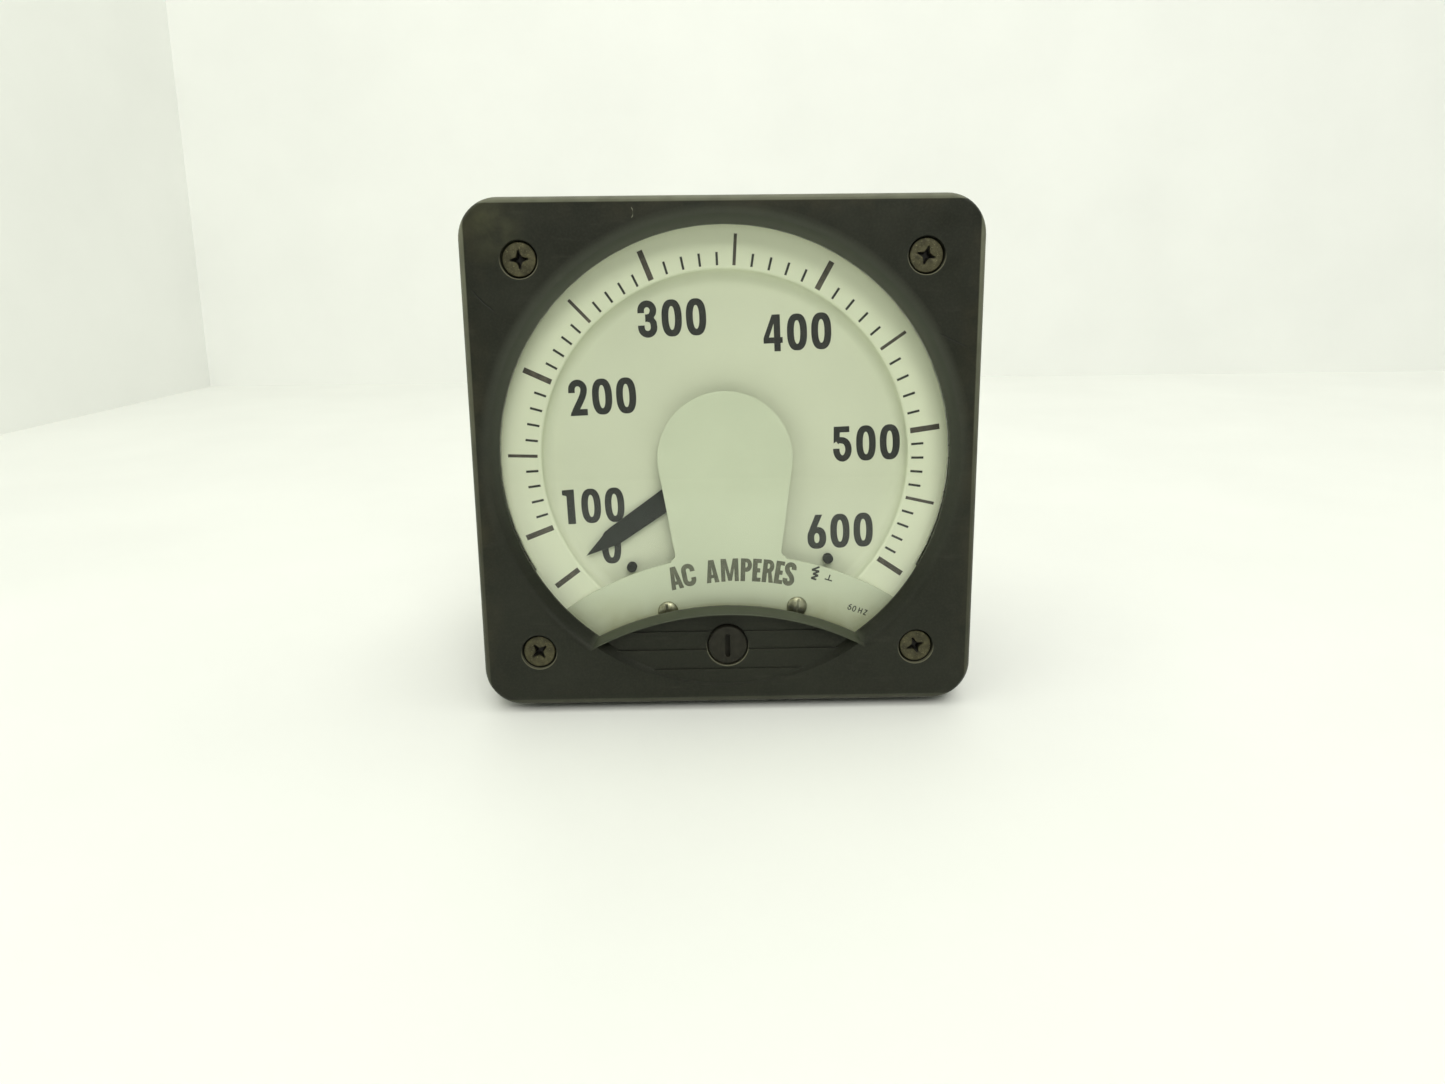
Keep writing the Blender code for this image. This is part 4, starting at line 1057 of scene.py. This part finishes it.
def type_line(text, front, place):
    """The shapes of a line of type. place gives the space of a character so far from the line's middle."""
    start = -sum(GLYPHS[character][1] for character in text) / 2
    line = []
    for character in text:
        glyph, advance = GLYPHS[character]
        for i, outlines in enumerate(glyph() if glyph else ()):
            # A stroke sits a hair higher than the one before it, so that no two faces coincide.
            shape = extruded(outlines, front - INK - 0.004 * i, front + INK_ROOT)
            shape.data.transform(place(start + advance / 2))
            line.append(shape)
        start += advance
    return line


# Middle of each number, from the middle of the face.
NUMBERS = {
    "0": (-27.0, -21.1), "100": (-30.6, -11.3), "200": (-27.9, 13.9), "300": (-11.6, 31.2),
    "400": (16.7, 27.8), "500": (32.8, 2.5), "600": (27.0, -18.1),
}


def climb(obj):
    """Lifts what reaches past the flat of the recess on to the curve at its edge."""
    flat = RECESS_RADIUS - FOLD_FOOT
    for vertex in obj.data.vertices:
        x, y = vertex.co.x / MM, vertex.co.y / MM - AXIS_DROP
        past = min(max(math.hypot(x, y) - flat, 0), FOLD_FOOT * 0.95)
        vertex.co.z += (FOLD_FOOT - math.sqrt(FOLD_FOOT**2 - past**2)) * MM


def numbers():
    floor = span("dial_plate")[1] - DIAL_SHEET
    shapes = []
    for text, at in NUMBERS.items():
        space = shifted(*at) @ rolled(DIAL_ROLL + 0.6)
        shapes += type_line(text, floor, lambda middle: space @ shifted(middle, 0))
    whole = gathered(shapes)
    climb(whole)
    add(whole, "scale_numbers", FACE, "dial_paint", material=NUMBER_INK)


WORD_ARC_RADIUS = 62.0
WORD_TOP = -25.75
WORD_CENTRE = 0.6
WORD_SCALE = 1.025


def on_word_arch(middle):
    tilt = -math.degrees(middle * WORD_SCALE / WORD_ARC_RADIUS)
    arch = shifted(WORD_CENTRE, WORD_TOP - WORD_ARC_RADIUS) @ rolled(tilt)
    size = Matrix.Diagonal((WORD_SCALE, WORD_SCALE, 1, 1))
    return arch @ shifted(0, WORD_ARC_RADIUS) @ size


def words():
    """The unit of the scale, on a shallow arch across the foot of the plate."""
    shapes = type_line("AC AMPERES", span("dial_cover_plate")[0], on_word_arch)
    add(gathered(shapes), "unit_words", DIAL, "dial_paint", material=WORD_INK)


SMALL_SIZE = 0.68
SMALL_WIDTH = 0.35
SMALL_TILT = -20
SIX = [(0.42, 1.0), (0.0, 0.8), (-0.4, 0.3), *oval_arc((0, -0.4), 0.52, 0.56, 170, 520, 18)]
ZERO = oval_arc((0, 0), 0.5, 0.95, 0, 360, 20)
ZED = [(-0.5, 0.85), (0.5, 0.85), (-0.5, -0.85), (0.5, -0.85)]
AITCH = ([(-0.5, 0.95), (-0.5, -0.95)], [(0.5, 0.95), (0.5, -0.95)], [(-0.5, 0), (0.5, 0)])
UPRIGHT = ([(0, 0), (0, 1.3)], [(-0.9, 0), (0.9, 0)])
WAVE = [(0.9, 1.63), (-0.9, 0.98), (0.82, 0.57), (-0.65, 0.0), (0.57, -0.41), (-1.06, -0.98)]
WAVE.append((0.16, -1.39))


def small_type():
    """60 HZ in thin type, and the signs for upright mounting and for a moving-iron movement."""
    thin = (SMALL_TILT, SMALL_WIDTH, SMALL_SIZE)
    signs = [
        ([SIX], (28.94, -35.54), *thin),
        ([ZERO], (29.98, -36.01), *thin),
        (AITCH, (31.40, -36.48), *thin),
        (zip(ZED, ZED[1:]), (32.60, -36.95), *thin),
        (UPRIGHT, (23.8, -28.95), -18, 0.30, 1.0),
        (zip(WAVE, WAVE[1:]), (20.85, -27.45), 0, 0.46, 1.0),
    ]
    front = span("dial_cover_plate")[0]
    shapes = []
    for strokes, at, tilt, width, size in signs:
        for stroke in strokes:
            top = front - INK - 0.0006 * len(shapes)
            shape = extruded([ribbon(stroke, width)], top, front + INK_ROOT)
            shape.data.transform(Matrix.Diagonal((size, size, 1, 1)))
            shapes.append(moved(shape, *at, tilt))
    add(gathered(shapes), "small_type", FACE, "dial_paint", material=SHORT_INK)


# Back of the meter

BARREL_RADIUS = 49.5
CASE_WALL = 3.0
STUD_HOLE = 2.7
TERMINAL_HOLE = 3.475


def case():
    """Square flange and round barrel, with a fillet between them and two terminal bosses."""
    front, boss_back = span("rear_case")
    flange_back = front + 5.0
    back = boss_back - 2.0
    edge, fillet = 1.5, 1.2
    inner = BARREL_RADIUS - CASE_WALL
    sizes = ((front, 0.6), (front + 0.3, 0), (flange_back - 0.5, 0), (flange_back, 1.0))
    flange = lofted([(at, rounded_square(SIDE - less, CORNER - less / 2)) for at, less in sizes])
    barrel = [
        (0, back - CASE_WALL), (inner, back - CASE_WALL),
        (inner, front + 0.8), (BARREL_RADIUS + fillet, front + 0.8),
        *arc((BARREL_RADIUS + fillet, flange_back + fillet), fillet, 270, 180, 6),
        *arc((BARREL_RADIUS - edge, back - edge), edge, 0, 90, 8),
        (0, back),
    ]
    bore = stepped(front - 1, (inner + 1.5, flange_back - 1))
    shape = joined(cut(flange, turned(bore, 144)), turned(barrel, 144))
    boss = [(0, back - 1), (10.2, back - 1), (9.6, back + 0.25), (9.0, back + 0.6)]
    boss += [(9.0, boss_back), (0, boss_back)]
    bosses, holes = [], []
    for hand in ("left", "right"):
        at = centre_of("terminal_stud_" + hand)
        bosses.append(moved(turned(boss, 72), *at, 3))
        hole = stepped(back - 8, (TERMINAL_HOLE, boss_back + 1))
        holes.append(moved(turned(hole, 48), *at))
    for corner in SCREWS:
        hole = stepped(front - 1, (4.5, front + 4.0), (STUD_HOLE, flange_back + 1))
        holes.append(moved(turned(hole, 40), *centre_of("mounting_stud_" + corner)))
    shape = softened(cut(joined(shape, *bosses), *holes), 0.25, 2, 40)
    add(shape, "case_moulding", FACE, "case_plastic", "rear_case")


def threaded(radius, pitch, front, back, plain_to, steps=36):
    """A rod, plain down to one depth and then threaded along a helix, with a chamfered tip."""
    depth = 0.54 * pitch
    chamfer = 0.9 * depth + 0.2
    rows = int((back - front) / pitch * 10)
    sections = []
    for row in range(rows + 1):
        z = front + (back - front) * row / rows
        most = radius - chamfer + min(back - z, chamfer)
        outline = []
        for step in range(steps):
            crest = abs(2 * ((z / pitch + step / steps) % 1.0) - 1)
            at = min(radius - depth * min(max(1.25 * crest - 0.125, 0), 1), most)
            if z < plain_to:
                at = radius
            angle = 2 * math.pi * step / steps
            outline.append((at * math.cos(angle), at * math.sin(angle)))
        sections.append((z, outline))
    return lofted(sections)


def hex_nut(across, bore, front, back):
    """Hexagonal nut with both its faces chamfered round, and a countersunk bore."""
    corner = across / math.sqrt(3)
    face, wide, sunk = across / 2 - 0.1, corner + 0.1, bore + 0.45
    drop = (corner - face) * math.tan(math.radians(28))
    prism = extruded([arc((0, 0), corner, 0, 300, 5)], front, back)
    cone = [(0, front), (face, front), (wide, front + drop)]
    cone += [(wide, back - drop), (face, back), (0, back)]
    hole = [(0, front - 1), (sunk, front - 1), (sunk, front), (bore, front + 0.45)]
    hole += [(bore, back - 0.45), (sunk, back), (sunk, back + 1), (0, back + 1)]
    return softened(cut(shared(prism, turned(cone, 96)), turned(hole, 48)), 0.08, 1)


def mounting(corner):
    """Stud with a socket head inside the case that the cover screw enters, and its nut."""
    stud, nut = "mounting_stud_" + corner, "mounting_nut_" + corner
    front, tip = span(stud)
    socket_back, shoulder = 15.95, 16.3
    head = [(0, socket_back), (2.0, socket_back), (2.0, front), (4.1, front)]
    head = turned([*head, (4.2, front + 0.1), (4.2, shoulder), (0, shoulder)], 40)
    shank = threaded(2.4, 0.794, shoulder - 0.2, tip, 18.2)
    add(gathered([head, shank]), "panel_stud_" + corner, at_node(stud), "zinc_steel", stud)
    shape = moved(hex_nut(9.5, 2.6, *span(nut)), 0, 0, 15)
    add(shape, "panel_nut_" + corner, at_node(stud), "zinc_steel", nut)


def terminal(hand):
    stud, ring, nut = ("terminal_%s_%s" % (kind, hand) for kind in ("stud", "washer", "nut"))
    head_front, tip = span(stud)
    head_back = 69.7
    head = turned(stepped(head_front, (6.0, head_back)), 48)
    shank = threaded(3.175, 0.907, head_back - 0.2, tip, 75.0)
    add(gathered([head, shank]), "terminal_screw_" + hand, at_node(stud), "brass", stud)
    front, back = span(ring)
    flat = [(3.5, front), (6.85, front), (7.0, front + 0.15), (7.0, back - 0.15), (6.85, back)]
    shape = turned([*flat, (3.5, back)], 72, ring=True)
    add(shape, "terminal_ring_" + hand, at_node(stud), "brass", ring)
    add(hex_nut(11.1, 3.45, *span(nut)), "terminal_hex_" + hand, at_node(stud), "brass", nut)


def dress_frame():
    """Materials and softly broken edges for the CAD nodes that stay."""
    slots = {entry["node"]: entry["material_slot"] for entry in frame["record"]["subparts"]}
    for name, obj in frame["nodes"].items():
        obj.data.materials.clear()
        obj.data.materials.append(MATERIALS[slots[name]])
        weld = obj.modifiers.new("Weld", "WELD")
        weld.merge_threshold = 0.000002
        bevel = obj.modifiers.new("Bevel", "BEVEL")
        bevel.width = 0.06 * MM
        bevel.segments = 1
        bevel.limit_method = "ANGLE"
        bevel.angle_limit = math.radians(40)


# Floor, light and camera


FLOOR_SLOPE = 0.108
BACK_WALL = 0.57
LEFT_WALL = -0.44


def set_stage():
    """The meter leans back on its flange and barrel, so the floor rises towards its back.

    Two pale walls stand behind it and on its left.
    """
    flange_edge = FRONT + 17.6 * MM
    near, left, right = -4.0, -4.0, 4.0
    wall_end, wall_top = -0.68, 2.4

    def floor_point(x, y):
        return x, y, (y - flange_edge) * FLOOR_SLOPE

    corners = [
        floor_point(LEFT_WALL - 0.04, near), floor_point(right, near),
        floor_point(right, BACK_WALL), floor_point(LEFT_WALL, BACK_WALL),
        (LEFT_WALL, BACK_WALL, wall_top), (right, BACK_WALL, wall_top),
        floor_point(LEFT_WALL - 0.05, wall_end), (LEFT_WALL - 0.05, wall_end, wall_top),
        floor_point(left, near), floor_point(left, wall_end),
    ]
    floor = [(0, 1, 2, 3, 6), (8, 0, 6, 9)], (0.80, 0.81, 0.77)
    walls = [(3, 2, 5, 4), (6, 3, 4, 7)], (0.88, 0.89, 0.855)
    for name, (polygons, tone) in {"floor": floor, "walls": walls}.items():
        mesh = bpy.data.meshes.new(name)
        mesh.from_pydata(corners, [], polygons)
        stage = bpy.data.objects.new(name, mesh)
        link(stage)
        paint = Paint(name, tone, 0.6)
        paint.coat(tuple(c * 1.04 for c in tone), paint.patches(90, 5, 0.3, 0.7))
        mesh.materials.append(paint.finished())


def area_light(name, place, target, size, power, colour):
    data = bpy.data.lights.new(name, "AREA")
    data.shape = "RECTANGLE"
    data.size, data.size_y = size
    data.energy = power
    data.color = colour
    light = bpy.data.objects.new(name, data)
    light.location = place
    light.rotation_euler = (Vector(target) - Vector(place)).to_track_quat("-Z", "Y").to_euler()
    link(light)


def set_light():
    """A dim, even room under one large soft light overhead."""
    world = bpy.data.worlds.new("studio")
    world.use_nodes = True
    background = world.node_tree.nodes["Background"]
    background.inputs["Color"].default_value = (0.880, 0.913, 0.825, 1)
    background.inputs["Strength"].default_value = 0.43
    bpy.context.scene.world = world
    bpy.context.scene.view_settings.view_transform = "Standard"
    area_light("overhead", (0.0, -0.1, 2.0), (0, -0.1, 0), (3.0, 2.6), 38, (1.0, 1.0, 0.965))
    area_light("front", (0.2, -1.3, 1.05), (0, 0, 0.05), (0.9, 0.7), 10.5, (1.0, 0.995, 0.96))


def set_camera():
    data = bpy.data.cameras.new("camera")
    data.sensor_width = 36.0
    data.lens = 22.62
    data.clip_start = 0.01
    data.clip_end = 20.0
    camera = bpy.data.objects.new("camera", data)
    right = Vector((0.99981, -0.01537, -0.01217))
    down = Vector((-0.01486, -0.18894, -0.98188))
    forward = Vector((0.0128, 0.98187, -0.18913))
    turn = Matrix((right, -down, -forward)).transposed().to_4x4()
    place = Vector((-3.513, -198.276, 20.194)) * MM + Vector((0, FRONT, CENTRE.z))
    camera.matrix_world = Matrix.Translation(place) @ turn
    link(camera)
    bpy.context.scene.camera = camera


set_camera()
set_light()
set_stage()
dress_frame()
front_cover()
glass()
for corner_name, screw_turn in SCREWS.items():
    cover_screw(corner_name, screw_turn)
    mounting(corner_name)
adjuster_head()
dial()
cover_plate()
for hand_name, hand_side in (("left", -1), ("right", 1)):
    dial_screw(hand_name, hand_side)
    stop_pin(hand_name)
    terminal(hand_name)
scale_marks()
numbers()
words()
small_type()
case()
